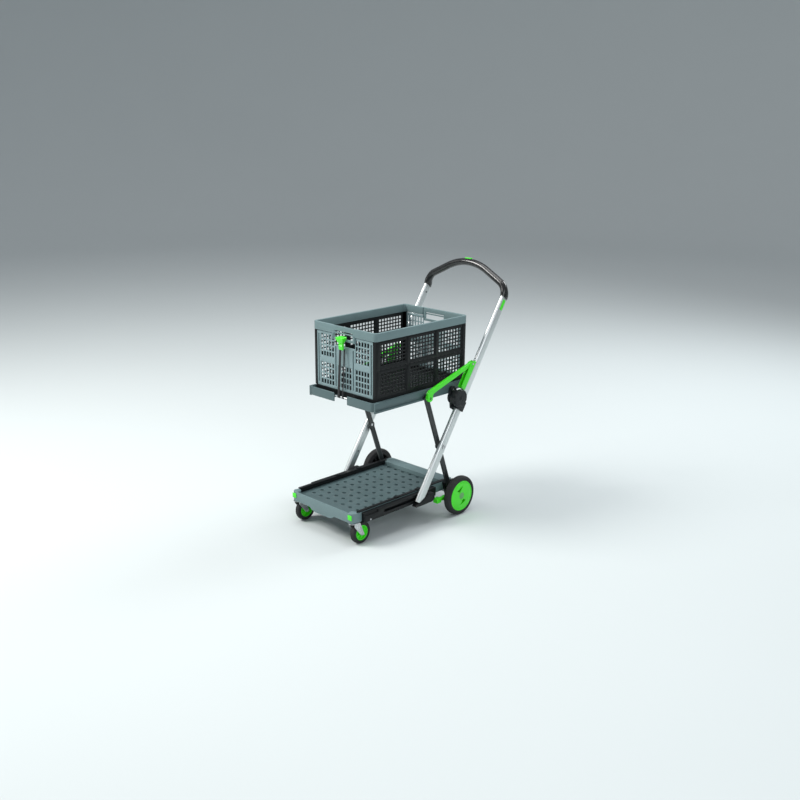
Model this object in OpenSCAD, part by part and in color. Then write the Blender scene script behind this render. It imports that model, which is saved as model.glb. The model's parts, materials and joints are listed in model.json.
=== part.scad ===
// Folding two-deck shopping cart: a lower deck on wheels, a scissor frame, an upper
// tray that carries a lift-off crate, and a handle that folds forward over the crate.
// Millimetres. +Z up, the front faces -Y, the origin is on the floor under the middle.

/* [Rear wheels] */
// Outer radius of a rear wheel
rear_wheel_r = 84.5; // [75:0.5:90]
// Width of a rear tyre
rear_wheel_w = 32; // [28:1:36]
// Radius of the wheel disc inside the tyre
rear_disc_r = 66; // [55:1:68]
// Radius of the rear axle
axle_r = 8; // [6:0.5:9]
// Distance of the rear axle behind the strut foot pivot
axle_back = 15; // [8:0.5:20]

/* [Casters] */
// Outer radius of a caster wheel
caster_r = 46; // [40:1:48]
// Width of a caster wheel
caster_w = 24; // [18:1:26]
// Distance from the swivel axis back to the caster axle
caster_trail = 40; // [30:1:44]
// Thickness of the fork sheet
fork_t = 2.5; // [2:0.5:4]
// Gap between a caster wheel and its fork, each side
fork_gap = 3; // [1:0.5:4]
// Radius of the caster stem
stem_r = 8; // [6:0.5:9]
// Radius of the caster axle
caster_axle_r = 4; // [3:0.5:5]

/* [Lower deck] */
// Width of the deck frame
deck_w = 366; // [330:1:370]
// Length of the deck frame
deck_l = 586; // [540:1:620]
// Height of the deck frame's lower edge above the floor
deck_z = 98; // [97:1:104]
// Height of the deck frame
deck_h = 40; // [34:1:46]
// Wall thickness of the deck frame
deck_wall = 6; // [4:0.5:8]
// Radius of the deck's corners
deck_corner_r = 20; // [12:1:26]
// Top of the deck floor above the deck's lower edge
floor_up = 24; // [18:1:28]
// Thickness of the deck floor
floor_t = 6; // [4:0.5:8]
// Pitch of the drain holes
hole_pitch = 44; // [36:1:50]
// Radius of a drain hole
hole_r = 8.5; // [6:0.5:10]
// Length of the closed housing at the rear of the deck
housing_l = 57; // [50:1:64]
// Drop of the front apron's belly under the deck
apron_drop = 14; // [8:1:16]
// Outward reach of a side rail
rail_reach = 21; // [18:1:22]

/* [Scissor frame] */
// Height of the strut's foot pivot and of the slide groove in the deck rails
foot_z = 118; // [114:1:122]
// Distance of the strut's foot pivot ahead of the deck's rear edge
foot_in = 42; // [36:1:48]
// Slope of a strut when the cart stands open
strut_slope = 70.3; // [66:0.1:73]
// Slope of a strut when the cart is folded
folded_slope = 25; // [25:1:40]
// Length from the foot pivot to the crossing
lower_half = 210; // [200:1:218]
// Length from the crossing to the top pivots
upper_half = 238; // [230:1:242]
// Width of a strut
strut_w = 22; // [18:1:26]
// Thickness of a strut
strut_t = 9.5; // [8:0.5:10]
// Radius of the pivot pins
pin_r = 6; // [5:0.5:7]
// Radial clearance of a running pin in its hole
run_fit = 0.05; // [0.02:0.01:0.1]
// Clearance of a pin in a slide groove, each side
slide_gap = 0.4; // [0.3:0.1:0.8]
// Side clearance between neighbouring layers
layer_gap = 2; // [1:0.5:3]

/* [Tubes] */
// Slope of the tubes when the cart stands open
tube_slope = 57; // [55:0.5:58]
// Width of the flat-oval tube
tube_w = 40; // [36:1:44]
// Thickness of the flat-oval tube
tube_t = 20; // [16:1:22]
// Wall of the tube
tube_wall = 2; // [1.5:0.5:3]
// Length of the lower tube below the crossing
tube_below = 252; // [246:1:256]
// Distance from the crossing up to the end of the handle tube
tube_above = 708; // [650:1:740]

/* [Hub] */
// Radius of the hub cover
hub_r = 37; // [34:1:40]
// Thickness of the hub cover
hub_t = 15; // [10:1:18]
// Radius of the knuckle that turns in the hub
knuckle_r = 30; // [26:1:31]
// Radius of the hub bolt
bolt_r = 8; // [6:0.5:9]
// Distance of the hub bolt behind the tray pivot
hub_back = 5; // [0:1:8]
// Distance of the hub bolt under the tray pivot
hub_drop = 29; // [26:1:32]

/* [Folding arms] */
// Distance of the arm's upper pivot behind the tray pivot
arm_back = 94.6; // [90:0.2:98]
// Height of the arm's upper pivot above the tray pivot
arm_up = 100.2; // [96:0.2:106]
// Width of an arm
arm_w = 20; // [18:1:26]
// Thickness of an arm
arm_t = 12; // [10:1:14]
// Radius of the arm's lower eye
arm_eye_r = 15; // [12:0.5:17]
// Wall of the arm bracket
bracket_t = 3.5; // [2.5:0.5:3.5]

/* [Tray] */
// Width of the tray
tray_w = 368; // [366:1:372]
// Length of the tray
tray_l = 562; // [550:1:580]
// Height of the tray's side
tray_h = 36; // [32:1:42]
// Height of the tray's side above the pivot axis
tray_rise = 28; // [22:1:32]
// Wall thickness of the tray
tray_wall = 5; // [4:0.5:6]
// Distance of the tray floor above the pivot axis
tray_floor_up = 7.2; // [7.1:0.1:9]
// Thickness of the tray floor
tray_floor_t = 6; // [4:0.5:7]
// Outward reach of a tray rail
tray_rail_reach = 8.5; // [7:0.5:9]

/* [Crate] */
// Width of the crate over its rim
crate_w = 362; // [340:1:362]
// Length of the crate over its rim
crate_l = 536; // [500:1:540]
// Height of the crate
crate_h = 285; // [240:1:300]
// Height of the rim band
rim_h = 33; // [26:1:40]
// Step of the rim out from the walls
rim_step = 5; // [3:0.5:6]
// Wall thickness of the crate
crate_wall = 6; // [4:0.5:7]
// Height of the crate's base ring
base_h = 22; // [16:1:30]
// Width of a grip opening
grip_hole_w = 104; // [90:1:120]
// Height of a grip opening
grip_hole_h = 28; // [22:1:32]
// Gap between the crate's folding panels
panel_gap = 0.6; // [0.4:0.1:1]
// Radius of the end panels' hinge pins
hinge_pin_r = 2; // [1.5:0.5:2.5]

/* [Handle grip] */
// Radius of the grip bar
grip_r = 16; // [13:0.5:18]
// Height in the sleeves where the grip's side bends start
grip_start = 4; // [2:1:8]
// Radius of the grip's two side bends
grip_bend_r = 60; // [40:1:80]
// Slope of the grip's shoulders
grip_slope = 27; // [15:1:35]
// Radius of the grip's crown
grip_crown_r = 242; // [200:1:280]
// Lean of the grip from upright
grip_lean = 9; // [0:1:20]
// Length of the release button
button_l = 34; // [24:1:44]
// Travel of the release button
button_travel = 4; // [2:0.5:5]

/* [Hidden] */
$fn = 64;

// Places along the cart, worked out from the deck and the scissor
deck_rear = 143.86;
deck_front = deck_rear - deck_l;
deck_mid = (deck_rear + deck_front) / 2;
foot_y = deck_rear - foot_in;
cross_y = foot_y - lower_half * cos(strut_slope);
cross_z = foot_z + lower_half * sin(strut_slope);
slide_y = foot_y - 2 * lower_half * cos(strut_slope);
slide_end_y = foot_y - 2 * lower_half * cos(folded_slope);
pivot_y = cross_y + upper_half * cos(strut_slope);
pivot_z = cross_z + upper_half * sin(strut_slope);
strut_top_y = cross_y - upper_half * cos(strut_slope);
strut_top_end_y = pivot_y - 2 * upper_half * cos(folded_slope);
axle_y = foot_y + axle_back;
axle_z = rear_wheel_r;
hub_y = pivot_y + hub_back;
hub_z = pivot_z - hub_drop;
arm_y = pivot_y + arm_back;
arm_z = pivot_z + arm_up;

// Layers from the middle outwards: tray rail, strut, tube, hub cover, wheel
strut_x = tray_w / 2 + tray_rail_reach + layer_gap;
strut_out = strut_x + strut_t;
tube_x = strut_out + 5.5;
tube_mid = tube_x + tube_t / 2;
tube_out = tube_x + tube_t;
plate_x = strut_x;
plate_out = strut_out + 1;
wheel_x = tube_out + 1;
cover_x = tube_out + 0.5;

// Tube frame: s runs up along the tubes from the crossing, v runs square to them, backwards
hub_s = (hub_y - cross_y) * cos(tube_slope) + (hub_z - cross_z) * sin(tube_slope);
hub_v = (hub_y - cross_y) * sin(tube_slope) - (hub_z - cross_z) * cos(tube_slope);
pivot_s = (pivot_y - cross_y) * cos(tube_slope) + (pivot_z - cross_z) * sin(tube_slope);
pivot_v = (pivot_y - cross_y) * sin(tube_slope) - (pivot_z - cross_z) * cos(tube_slope);
arm_s = (arm_y - cross_y) * cos(tube_slope) + (arm_z - cross_z) * sin(tube_slope);
arm_v = (arm_y - cross_y) * sin(tube_slope) - (arm_z - cross_z) * cos(tube_slope);
lower_top_s = hub_s - knuckle_r - 0.5;
collar_top_s = hub_s + 1.5;
upper_start_s = hub_s + 26;

// Tray and crate heights
tray_top = pivot_z + tray_rise;
tray_z = tray_top - tray_h;
tray_front = deck_front + 107;
tray_floor_z = pivot_z + tray_floor_up;
tray_seat = tray_floor_z + tray_floor_t;
crate_mid_y = tray_front + 287;
crate_top = tray_seat + crate_h;
crate_body_w = crate_w - 2 * rim_step;
crate_body_l = crate_l - 2 * rim_step;
rim_z = crate_top - rim_h;
hole_z = crate_top - 20 - grip_hole_h;
panel_z = tray_seat + base_h + panel_gap;
lobe_w = grip_hole_w + 2 * 14;
lobe_z = hole_z - 10;
hinge_z = rim_z - 6;
end_w = crate_body_w - 2 * crate_wall - 2 * panel_gap;

// Latch, hinged on a bar in the tray's front notch
bar_y = tray_front + 5.5;
bar_z = pivot_z + 16;
bar_r = 3;
notch_w = 76;
notch_z = pivot_z + 6;
hook_z = hole_z - 16;
crate_front = crate_mid_y - crate_l / 2;

// Casters
caster_x = deck_w / 2 - 16;
caster_y = deck_front + 15;
caster_axle_y = caster_y + caster_trail;
fork_in = caster_w / 2 + fork_gap;
fork_top = 2 * caster_r + 4.5;

// Grip; the straight shoulders are a hair slimmer than the bends they run into
joint_step = 0.1;
grip_end_s = tube_above - 14;
grip_x = tube_mid;
grip_turn = 90 - grip_slope;
shoulder_x = grip_x - grip_bend_r * (1 - cos(grip_turn));
crown_x = grip_crown_r * sin(grip_slope);
shoulder_l = (shoulder_x - crown_x) / cos(grip_slope);
shoulder_h = grip_start + grip_bend_r * sin(grip_turn);
crown_h = shoulder_h + shoulder_l * sin(grip_slope);
grip_h = crown_h + grip_crown_r * (1 - cos(grip_slope));

function flat_len(w, t) = w - t;

// A profile square to a tube: thickness along x, width along y, with round edges
module flat_oval(t, w) {
    square([t, flat_len(w, t)], center = true);
    for (side = [-1, 1])
        translate([0, side * flat_len(w, t) / 2]) circle(r = t / 2);
}

// Puts its children in the tube frame, z along the tube and y square to it
module on_tube() {
    translate([0, cross_y, cross_z]) rotate([tube_slope - 90, 0, 0]) children();
}

// Turns a flat shape drawn in (y, z) into a plate between two x values
module side_plate(x0, x1) {
    translate([x0, 0, 0]) rotate([90, 0, 90]) linear_extrude(height = x1 - x0) children();
}

// A round bar along x
module x_bar(x0, x1, y, z, r) {
    translate([x0, y, z]) rotate([0, 90, 0]) cylinder(r = r, h = x1 - x0);
}

// Makes a left-hand copy of a piece drawn on the right
module left_side() {
    mirror([1, 0, 0]) children();
}

module round_rect(w, l, r) {
    square([w - 2 * r, l], center = true);
    square([w, l - 2 * r], center = true);
    for (sx = [-1, 1], sy = [-1, 1])
        translate([sx * (w / 2 - r), sy * (l / 2 - r)]) circle(r = r);
}

// ---------- lower deck ----------

module deck_frame() color([0.29, 0.37, 0.38]) {
    inner_w = deck_w - 2 * deck_wall;
    difference() {
        union() {
            translate([0, deck_mid, deck_z]) linear_extrude(height = deck_h)
                difference() {
                    round_rect(deck_w, deck_l, deck_corner_r);
                    round_rect(inner_w, deck_l - 2 * deck_wall, deck_corner_r - deck_wall);
                }
            // Housing over the strut shaft
            translate([-inner_w / 2 - 1, deck_rear - housing_l, deck_z + 2])
                cube([inner_w + 2, housing_l - 1, deck_h - 2]);
            // Corner posts that take the caster stems
            for (side = [-1, 1])
                translate([side * caster_x, caster_y, deck_z]) cylinder(r = 15, h = deck_h + 2);
            // Ledge under the floor
            translate([0, deck_mid, deck_z + floor_up - floor_t - 5]) linear_extrude(height = 5)
                difference() {
                    square([inner_w + 1, deck_l - 2 * deck_wall + 1], center = true);
                    square([inner_w - 20, deck_l - 2 * deck_wall - 20], center = true);
                }
            // Belly of the front apron
            translate([0, deck_front + deck_wall, deck_z]) rotate([90, 0, 0])
                linear_extrude(height = deck_wall)
                    polygon([[-75, 1], [-60, -apron_drop * 0.7], [-40, -apron_drop],
                        [40, -apron_drop], [60, -apron_drop * 0.7], [75, 1]]);
        }
        x_bar(-deck_w, deck_w, foot_y, foot_z, pin_r + run_fit);
        for (side = [-1, 1])
            translate([side * caster_x, caster_y, deck_z - 1])
                cylinder(r = stem_r + run_fit, h = deck_h - 3);
    }
}

module deck_floor() color([0.33, 0.42, 0.43]) {
    w = deck_w - 2 * deck_wall - 1;
    y0 = deck_front + deck_wall + 0.5;
    y1 = deck_rear - housing_l - 0.5;
    columns = floor((w - 70) / hole_pitch / 2);
    rows = floor((y1 - y0 - 60) / hole_pitch);
    difference() {
        translate([-w / 2, y0, deck_z + floor_up - floor_t]) cube([w, y1 - y0, floor_t]);
        for (side = [-1, 1])
            translate([side * caster_x, caster_y, deck_z]) cylinder(r = 15.6, h = deck_h);
        for (i = [-columns:columns], j = [0:rows])
            translate([i * hole_pitch, y1 - 13 - j * hole_pitch, deck_z]) cylinder(r = hole_r, h = deck_h);
    }
}

// C-section rail along the deck's side; the tube's slide pin runs in its groove
module deck_rail() {
    rail_front = deck_front + 48;
    rail_rear = slide_y + 56;
    x0 = deck_w / 2 + 0.3;
    groove_h = 2 * (pin_r + slide_gap);
    difference() {
        translate([x0, rail_front, deck_z]) cube([rail_reach, rail_rear - rail_front, deck_h - 2]);
        translate([x0 + 7, slide_end_y - pin_r - 4, foot_z - groove_h / 2])
            cube([rail_reach, slide_y - slide_end_y + 2 * pin_r + 8, groove_h]);
        translate([x0 + 14, rail_front - 1, deck_z + deck_h - 14])
            cube([rail_reach, 74, deck_h]);
    }
}

module deck_rail_right() color([0.07, 0.08, 0.08]) deck_rail();
module deck_rail_left() color([0.07, 0.08, 0.08]) left_side() deck_rail();

module corner_inserts() color([0.25, 0.85, 0.15])
    for (side = [-1, 1])
        translate([side * caster_x - 11, deck_front - 2.2, deck_z + deck_h / 2 - 6]) cube([22, 2, 20]);

// Side plate on the deck with a boss that carries the axle
module wheel_bracket() {
    difference() {
        union() {
            side_plate(deck_w / 2 + 0.3, deck_w / 2 + 11)
                polygon([[axle_y - 40, foot_z + 18], [axle_y + 28, foot_z + 18],
                    [axle_y + 28, axle_z], [axle_y + 18, axle_z - 18], [axle_y - 18, axle_z - 18]]);
            x_bar(deck_w / 2 + 0.3, wheel_x - 3, axle_y, axle_z, axle_r + 8);
        }
        x_bar(deck_w / 2 - 1, wheel_x, axle_y, axle_z, axle_r);
        x_bar(deck_w / 2 - 1, deck_w / 2 + 12, foot_y, foot_z, pin_r + 1);
    }
}

module wheel_brackets() color([0.08, 0.09, 0.09]) {
    wheel_bracket();
    left_side() wheel_bracket();
}

module rear_axle() color([0.75, 0.76, 0.78])
    x_bar(-wheel_x - rear_wheel_w + 8, wheel_x + rear_wheel_w - 8, axle_y, axle_z, axle_r);

module brake_pedal() color([0.2, 0.72, 0.12]) {
    ring_in = axle_r + 8 + run_fit;
    x0 = plate_out + 1.5;
    difference() {
        union() {
            x_bar(x0, x0 + 12, axle_y, axle_z, ring_in + 6);
            side_plate(x0, x0 + 12)
                polygon([[axle_y - 12, axle_z - 17], [axle_y - 12, axle_z + 6],
                    [axle_y - 88, axle_z + 1], [axle_y - 88, axle_z - 12]]);
            translate([x0 - 8, axle_y - 110, axle_z - 17]) cube([24, 26, 20]);
        }
        x_bar(x0 - 20, x0 + 20, axle_y, axle_z, ring_in);
    }
}

// ---------- rear wheels ----------

module wheel_tyre() {
    edge = 5;
    translate([wheel_x, axle_y, axle_z]) rotate([0, 90, 0])
        rotate_extrude($fn = 96)
            polygon([[rear_disc_r, 0], [rear_wheel_r - edge, 0], [rear_wheel_r, edge],
                [rear_wheel_r, rear_wheel_w - edge], [rear_wheel_r - edge, rear_wheel_w],
                [rear_disc_r, rear_wheel_w]]);
}

module wheel_disc() {
    dish = 9;
    difference() {
        x_bar(wheel_x + 1, wheel_x + rear_wheel_w - 1, axle_y, axle_z, rear_disc_r);
        x_bar(wheel_x - 1, wheel_x + rear_wheel_w + 1, axle_y, axle_z, axle_r + run_fit);
        difference() {
            x_bar(wheel_x, wheel_x + dish + 12, axle_y, axle_z, rear_disc_r - 6);
            x_bar(wheel_x, wheel_x + dish + 12, axle_y, axle_z, 20);
        }
        for (turn = [0, 180])
            translate([0, axle_y, axle_z]) rotate([turn + 55, 0, 0])
                side_plate(wheel_x, wheel_x + rear_wheel_w)
                    polygon([[24, -9], [44, -9], [34, 10]]);
    }
}

module wheel_cap() {
    x1 = wheel_x + rear_wheel_w - 1;
    x_bar(x1, x1 + 2, axle_y, axle_z, 14);
}

module wheel_tyre_right() color([0.05, 0.05, 0.05]) wheel_tyre();
module wheel_tyre_left() color([0.05, 0.05, 0.05]) left_side() wheel_tyre();
module wheel_disc_right() color([0.25, 0.85, 0.15]) wheel_disc();
module wheel_disc_left() color([0.25, 0.85, 0.15]) left_side() wheel_disc();
module wheel_cap_right() color([0.5, 0.55, 0.5]) wheel_cap();
module wheel_cap_left() color([0.5, 0.55, 0.5]) left_side() wheel_cap();

// ---------- casters ----------

module caster_stem() {
    translate([caster_x, caster_y, fork_top]) cylinder(r = stem_r, h = deck_z + deck_h - 8 - fork_top);
}

module caster_fork() {
    plate_r = fork_in + fork_t;
    difference() {
        union() {
            translate([caster_x, caster_y, fork_top - fork_t]) cylinder(r = plate_r, h = fork_t);
            translate([caster_x - plate_r, caster_y, fork_top - fork_t])
                cube([2 * plate_r, caster_trail * 0.6, fork_t]);
            for (side = [-1, 1]) {
                x0 = caster_x + (side > 0 ? fork_in : -fork_in - fork_t);
                side_plate(x0, x0 + fork_t)
                    polygon([[caster_y - 4, fork_top], [caster_y - 4, fork_top - 14],
                        [caster_axle_y - 9, caster_r - 8], [caster_axle_y + 9, caster_r - 8],
                        [caster_y + caster_trail * 0.6, fork_top]]);
            }
        }
        x_bar(caster_x - 30, caster_x + 30, caster_axle_y, caster_r, caster_axle_r);
    }
}

module caster_axle() {
    reach = fork_in + fork_t + 2;
    x_bar(caster_x - reach, caster_x + reach, caster_axle_y, caster_r, caster_axle_r);
}

module caster_hub() {
    difference() {
        x_bar(caster_x - caster_w / 2 + 1, caster_x + caster_w / 2 - 1, caster_axle_y, caster_r, caster_r * 0.68);
        x_bar(caster_x - caster_w, caster_x + caster_w, caster_axle_y, caster_r, caster_axle_r + run_fit);
    }
}

module caster_tyre() {
    translate([caster_x - caster_w / 2, caster_axle_y, caster_r]) rotate([0, 90, 0])
        rotate_extrude()
            polygon([[caster_r * 0.68, 0], [caster_r - 4, 0], [caster_r, 4],
                [caster_r, caster_w - 4], [caster_r - 4, caster_w], [caster_r * 0.68, caster_w]]);
}

module caster_stem_right() color([0.75, 0.76, 0.78]) caster_stem();
module caster_stem_left() color([0.75, 0.76, 0.78]) left_side() caster_stem();
module caster_fork_right() color([0.8, 0.82, 0.84]) caster_fork();
module caster_fork_left() color([0.8, 0.82, 0.84]) left_side() caster_fork();
module caster_axle_right() color([0.6, 0.62, 0.64]) caster_axle();
module caster_axle_left() color([0.6, 0.62, 0.64]) left_side() caster_axle();
module caster_hub_right() color([0.25, 0.85, 0.15]) caster_hub();
module caster_hub_left() color([0.25, 0.85, 0.15]) left_side() caster_hub();
module caster_tyre_right() color([0.05, 0.05, 0.05]) caster_tyre();
module caster_tyre_left() color([0.05, 0.05, 0.05]) left_side() caster_tyre();

// ---------- scissor frame ----------

// Flat strut from its foot pivot up to the tray rail, with round ends
module strut() {
    length = lower_half + upper_half;
    translate([strut_x, foot_y, foot_z]) rotate([90 - strut_slope, 0, 0])
        rotate([90, 0, 90]) linear_extrude(height = strut_t)
            difference() {
                union() {
                    translate([-strut_w / 2, 0]) square([strut_w, length]);
                    circle(r = strut_w / 2 + 2);
                    translate([0, length]) circle(r = strut_w / 2);
                    translate([0, lower_half]) circle(r = strut_w / 2 + 4);
                }
                circle(r = pin_r);
                translate([0, lower_half]) circle(r = pin_r);
                translate([0, length]) circle(r = pin_r);
            }
}

module strut_right() color([0.13, 0.15, 0.16]) strut();
module strut_left() color([0.13, 0.15, 0.16]) left_side() strut();

module strut_shaft() color([0.7, 0.71, 0.73])
    x_bar(-strut_out, strut_out, foot_y, foot_z, pin_r);

// Pins fixed in the struts: one at the crossing, one that runs in the tray rail
module strut_pin_pair() {
    x_bar(strut_x, cover_x, cross_y, cross_z, pin_r);
    x_bar(cover_x - 0.1, cover_x + 3.5, cross_y, cross_z, pin_r + 3);
    x_bar(strut_out, tube_x - 0.4, cross_y, cross_z, pin_r + 5);
    x_bar(tray_w / 2 + 3, strut_out, strut_top_y, pivot_z, pin_r);
}

module strut_pins() color([0.6, 0.62, 0.64]) {
    strut_pin_pair();
    left_side() strut_pin_pair();
}

module lower_tube() {
    difference() {
        on_tube() translate([tube_mid, 0, -tube_below])
            linear_extrude(height = tube_below + lower_top_s)
                difference() {
                    flat_oval(tube_t, tube_w);
                    flat_oval(tube_t - 2 * tube_wall, tube_w - 2 * tube_wall);
                }
        x_bar(tube_x - 1, tube_out + 1, cross_y, cross_z, pin_r + run_fit);
    }
}

module lower_tube_right() color([0.85, 0.86, 0.87]) lower_tube();
module lower_tube_left() color([0.85, 0.86, 0.87]) left_side() lower_tube();

// Black shoe round the tube's lower end, with the pin that slides in the deck rail
module shoe() {
    x0 = tube_x - 4;
    x1 = tube_out + 2.5;
    low = foot_z - 25;
    toe = slide_y - 92;
    difference() {
        side_plate(x0, x1)
            polygon([[toe, low], [toe + 8, low + 8], [slide_y - 18, foot_z + 13],
                [slide_y + 12, foot_z + 13], [slide_y + 19, foot_z + 6],
                [slide_y + 19, foot_z - 12], [slide_y + 7, low]]);
        on_tube() translate([tube_mid, 0, -tube_below]) linear_extrude(height = tube_below)
            flat_oval(tube_t, tube_w);
    }
    x_bar(deck_w / 2 + 9, x0 + 1, slide_y, foot_z, pin_r);
}

module shoe_right() color([0.07, 0.07, 0.08]) shoe();
module shoe_left() color([0.07, 0.07, 0.08]) left_side() shoe();

// Hub housing on the lower tube: inner plate, collar round the tube's end and outer cover
module hub() {
    half = tube_w / 2;
    wrap = half + 3.5;
    difference() {
        union() {
            on_tube() side_plate(plate_x, plate_out) {
                polygon([[-half, hub_s - 48], [half, hub_s - 48], [half, hub_s + 1],
                    [hub_v + 10, hub_s + knuckle_r], [pivot_v - 4, pivot_s + 17],
                    [pivot_v - 17, pivot_s + 4], [pivot_v - 15, pivot_s - 12]]);
                translate([pivot_v, pivot_s]) circle(r = 17);
                translate([hub_v, hub_s]) circle(r = knuckle_r);
            }
            on_tube() side_plate(plate_out, tube_out + 3.5)
                difference() {
                    translate([-wrap, hub_s - 42]) square([2 * wrap, collar_top_s - hub_s + 42]);
                    translate([hub_v, hub_s]) circle(r = knuckle_r + 1.5);
                }
            on_tube() side_plate(cover_x, cover_x + hub_t)
                translate([hub_v, hub_s]) circle(r = hub_r);
        }
        on_tube() translate([tube_mid, 0, 0]) linear_extrude(height = lower_top_s)
            flat_oval(tube_t, tube_w);
        x_bar(plate_x - 1, plate_out + 1, pivot_y, pivot_z, pin_r);
        x_bar(plate_x - 1, cover_x + 6, hub_y, hub_z, bolt_r);
    }
}

module hub_right() color([0.12, 0.13, 0.14]) hub();
module hub_left() color([0.12, 0.13, 0.14]) left_side() hub();

module hub_bolts() color([0.6, 0.62, 0.64]) {
    x_bar(plate_x, cover_x + 6, hub_y, hub_z, bolt_r);
    left_side() x_bar(plate_x, cover_x + 6, hub_y, hub_z, bolt_r);
}

module tray_shaft() color([0.7, 0.71, 0.73])
    x_bar(-plate_out, plate_out, pivot_y, pivot_z, pin_r);

// ---------- tray ----------

module tray() color([0.29, 0.37, 0.38]) {
    mid = tray_front + tray_l / 2;
    difference() {
        union() {
            translate([0, mid, tray_z]) linear_extrude(height = tray_h)
                difference() {
                    round_rect(tray_w, tray_l, 14);
                    round_rect(tray_w - 2 * tray_wall, tray_l - 2 * tray_wall, 14 - tray_wall);
                }
            translate([0, mid, tray_floor_z]) linear_extrude(height = tray_floor_t)
                round_rect(tray_w - 2, tray_l - 2, 13);
            // Lugs under the floor that hold the tray shaft
            for (x = [-120, 0, 120])
                translate([x - 8, pivot_y - 14, tray_z]) cube([16, 28, tray_floor_z - tray_z + 1]);
        }
        x_bar(-tray_w, tray_w, pivot_y, pivot_z, pin_r + run_fit);
        translate([-notch_w / 2, tray_front - 1, notch_z]) cube([notch_w, tray_wall + 9, tray_h]);
    }
}

// C-section rails outside the tray; the struts' top pins run in their grooves
module tray_rail() {
    x0 = tray_w / 2;
    rail_z = pivot_z - 13;
    groove_h = 2 * (pin_r + slide_gap);
    difference() {
        translate([x0, tray_front + 5, rail_z]) cube([tray_rail_reach, pivot_y + 14 - tray_front - 5, 40]);
        translate([x0 + 2.4, strut_top_end_y - pin_r - 3, pivot_z - groove_h / 2])
            cube([tray_rail_reach, strut_top_y - strut_top_end_y + 2 * pin_r + 6, groove_h]);
        x_bar(x0 - 1, x0 + tray_rail_reach + 1, pivot_y, pivot_z, pin_r + run_fit);
    }
}

module tray_rails() color([0.13, 0.15, 0.16]) {
    tray_rail();
    left_side() tray_rail();
}

module strap_bar() color([0.6, 0.62, 0.64])
    x_bar(-notch_w / 2, notch_w / 2, bar_y, bar_z, bar_r);

// ---------- handle ----------

module handle_tube() {
    on_tube() translate([tube_mid, 0, upper_start_s])
        linear_extrude(height = tube_above - upper_start_s)
            difference() {
                flat_oval(tube_t, tube_w);
                flat_oval(tube_t - 2 * tube_wall, tube_w - 2 * tube_wall);
            }
}

module handle_tube_right() color([0.85, 0.86, 0.87]) handle_tube();
module handle_tube_left() color([0.85, 0.86, 0.87]) left_side() handle_tube();

// End piece of the handle tube that turns on the hub bolt
module knuckle() {
    difference() {
        union() {
            x_bar(tube_x, tube_out, hub_y, hub_z, knuckle_r);
            on_tube() translate([tube_mid, 0, collar_top_s + 1])
                linear_extrude(height = upper_start_s - collar_top_s - 1) flat_oval(tube_t, tube_w);
        }
        x_bar(tube_x - 1, tube_out + 1, hub_y, hub_z, bolt_r + run_fit);
    }
}

module knuckle_right() color([0.12, 0.13, 0.14]) knuckle();
module knuckle_left() color([0.12, 0.13, 0.14]) left_side() knuckle();

// Green channel on the front of the handle tube; its two walls hold the arm's upper pin
module arm_bracket() {
    low_s = hub_s + hub_r + 6;
    high_s = arm_s + 16;
    front_v = arm_v - 13;
    edge_v = -tube_w / 2;
    back_v = edge_v + 5;
    slot = arm_t / 2 + 0.5;
    difference() {
        on_tube() side_plate(tube_mid - slot - bracket_t, tube_mid + slot + bracket_t)
            polygon([[back_v, low_s], [front_v + 4, low_s], [front_v, low_s + 6],
                [front_v, arm_s], [edge_v - 6, high_s], [back_v, high_s]]);
        on_tube() side_plate(tube_mid - slot, tube_mid + slot)
            polygon([[back_v + 1, low_s + 60], [edge_v - 3, low_s + 60], [edge_v - 3, low_s - 1],
                [front_v - 1, low_s - 1], [front_v - 1, high_s + 1], [back_v + 1, high_s + 1]]);
        on_tube() translate([tube_mid, 0, low_s - 2]) linear_extrude(height = high_s - low_s + 4)
            flat_oval(tube_t + 2 * run_fit, tube_w + 2 * run_fit);
        x_bar(tube_mid - 20, tube_mid + 20, arm_y, arm_z, pin_r - 1);
    }
}

module arm_bracket_right() color([0.25, 0.85, 0.15]) arm_bracket();
module arm_bracket_left() color([0.25, 0.85, 0.15]) left_side() arm_bracket();

module arm_pin() {
    reach = arm_t / 2 + bracket_t + 1.5;
    x_bar(tube_mid - reach, tube_mid + reach, arm_y, arm_z, pin_r - 1);
}

module arm_pins() color([0.3, 0.32, 0.33]) {
    arm_pin();
    left_side() arm_pin();
}

// Places its children in the leaning plane of the grip, z up the plane from the sleeves
module on_grip() {
    end_y = cross_y + grip_end_s * cos(tube_slope);
    end_z = cross_z + grip_end_s * sin(tube_slope);
    translate([0, end_y, end_z]) rotate([-grip_lean, 0, 0]) children();
}

// Half of the grip: sleeve over the tube's end, side bend and shoulder
module grip_half() {
    on_grip() {
        translate([grip_x - grip_bend_r, 0, grip_start]) rotate([90, 0, 0])
            rotate_extrude(angle = grip_turn) translate([grip_bend_r, 0]) circle(r = grip_r);
        translate([shoulder_x, 0, shoulder_h]) rotate([0, -grip_turn, 0])
            translate([0, 0, -1]) cylinder(r = grip_r - joint_step, h = shoulder_l + 2);
    }
    on_tube() translate([tube_mid, 0, grip_end_s - 8])
        linear_extrude(height = 38) flat_oval(tube_t + 8, tube_w + 6);
}

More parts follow.
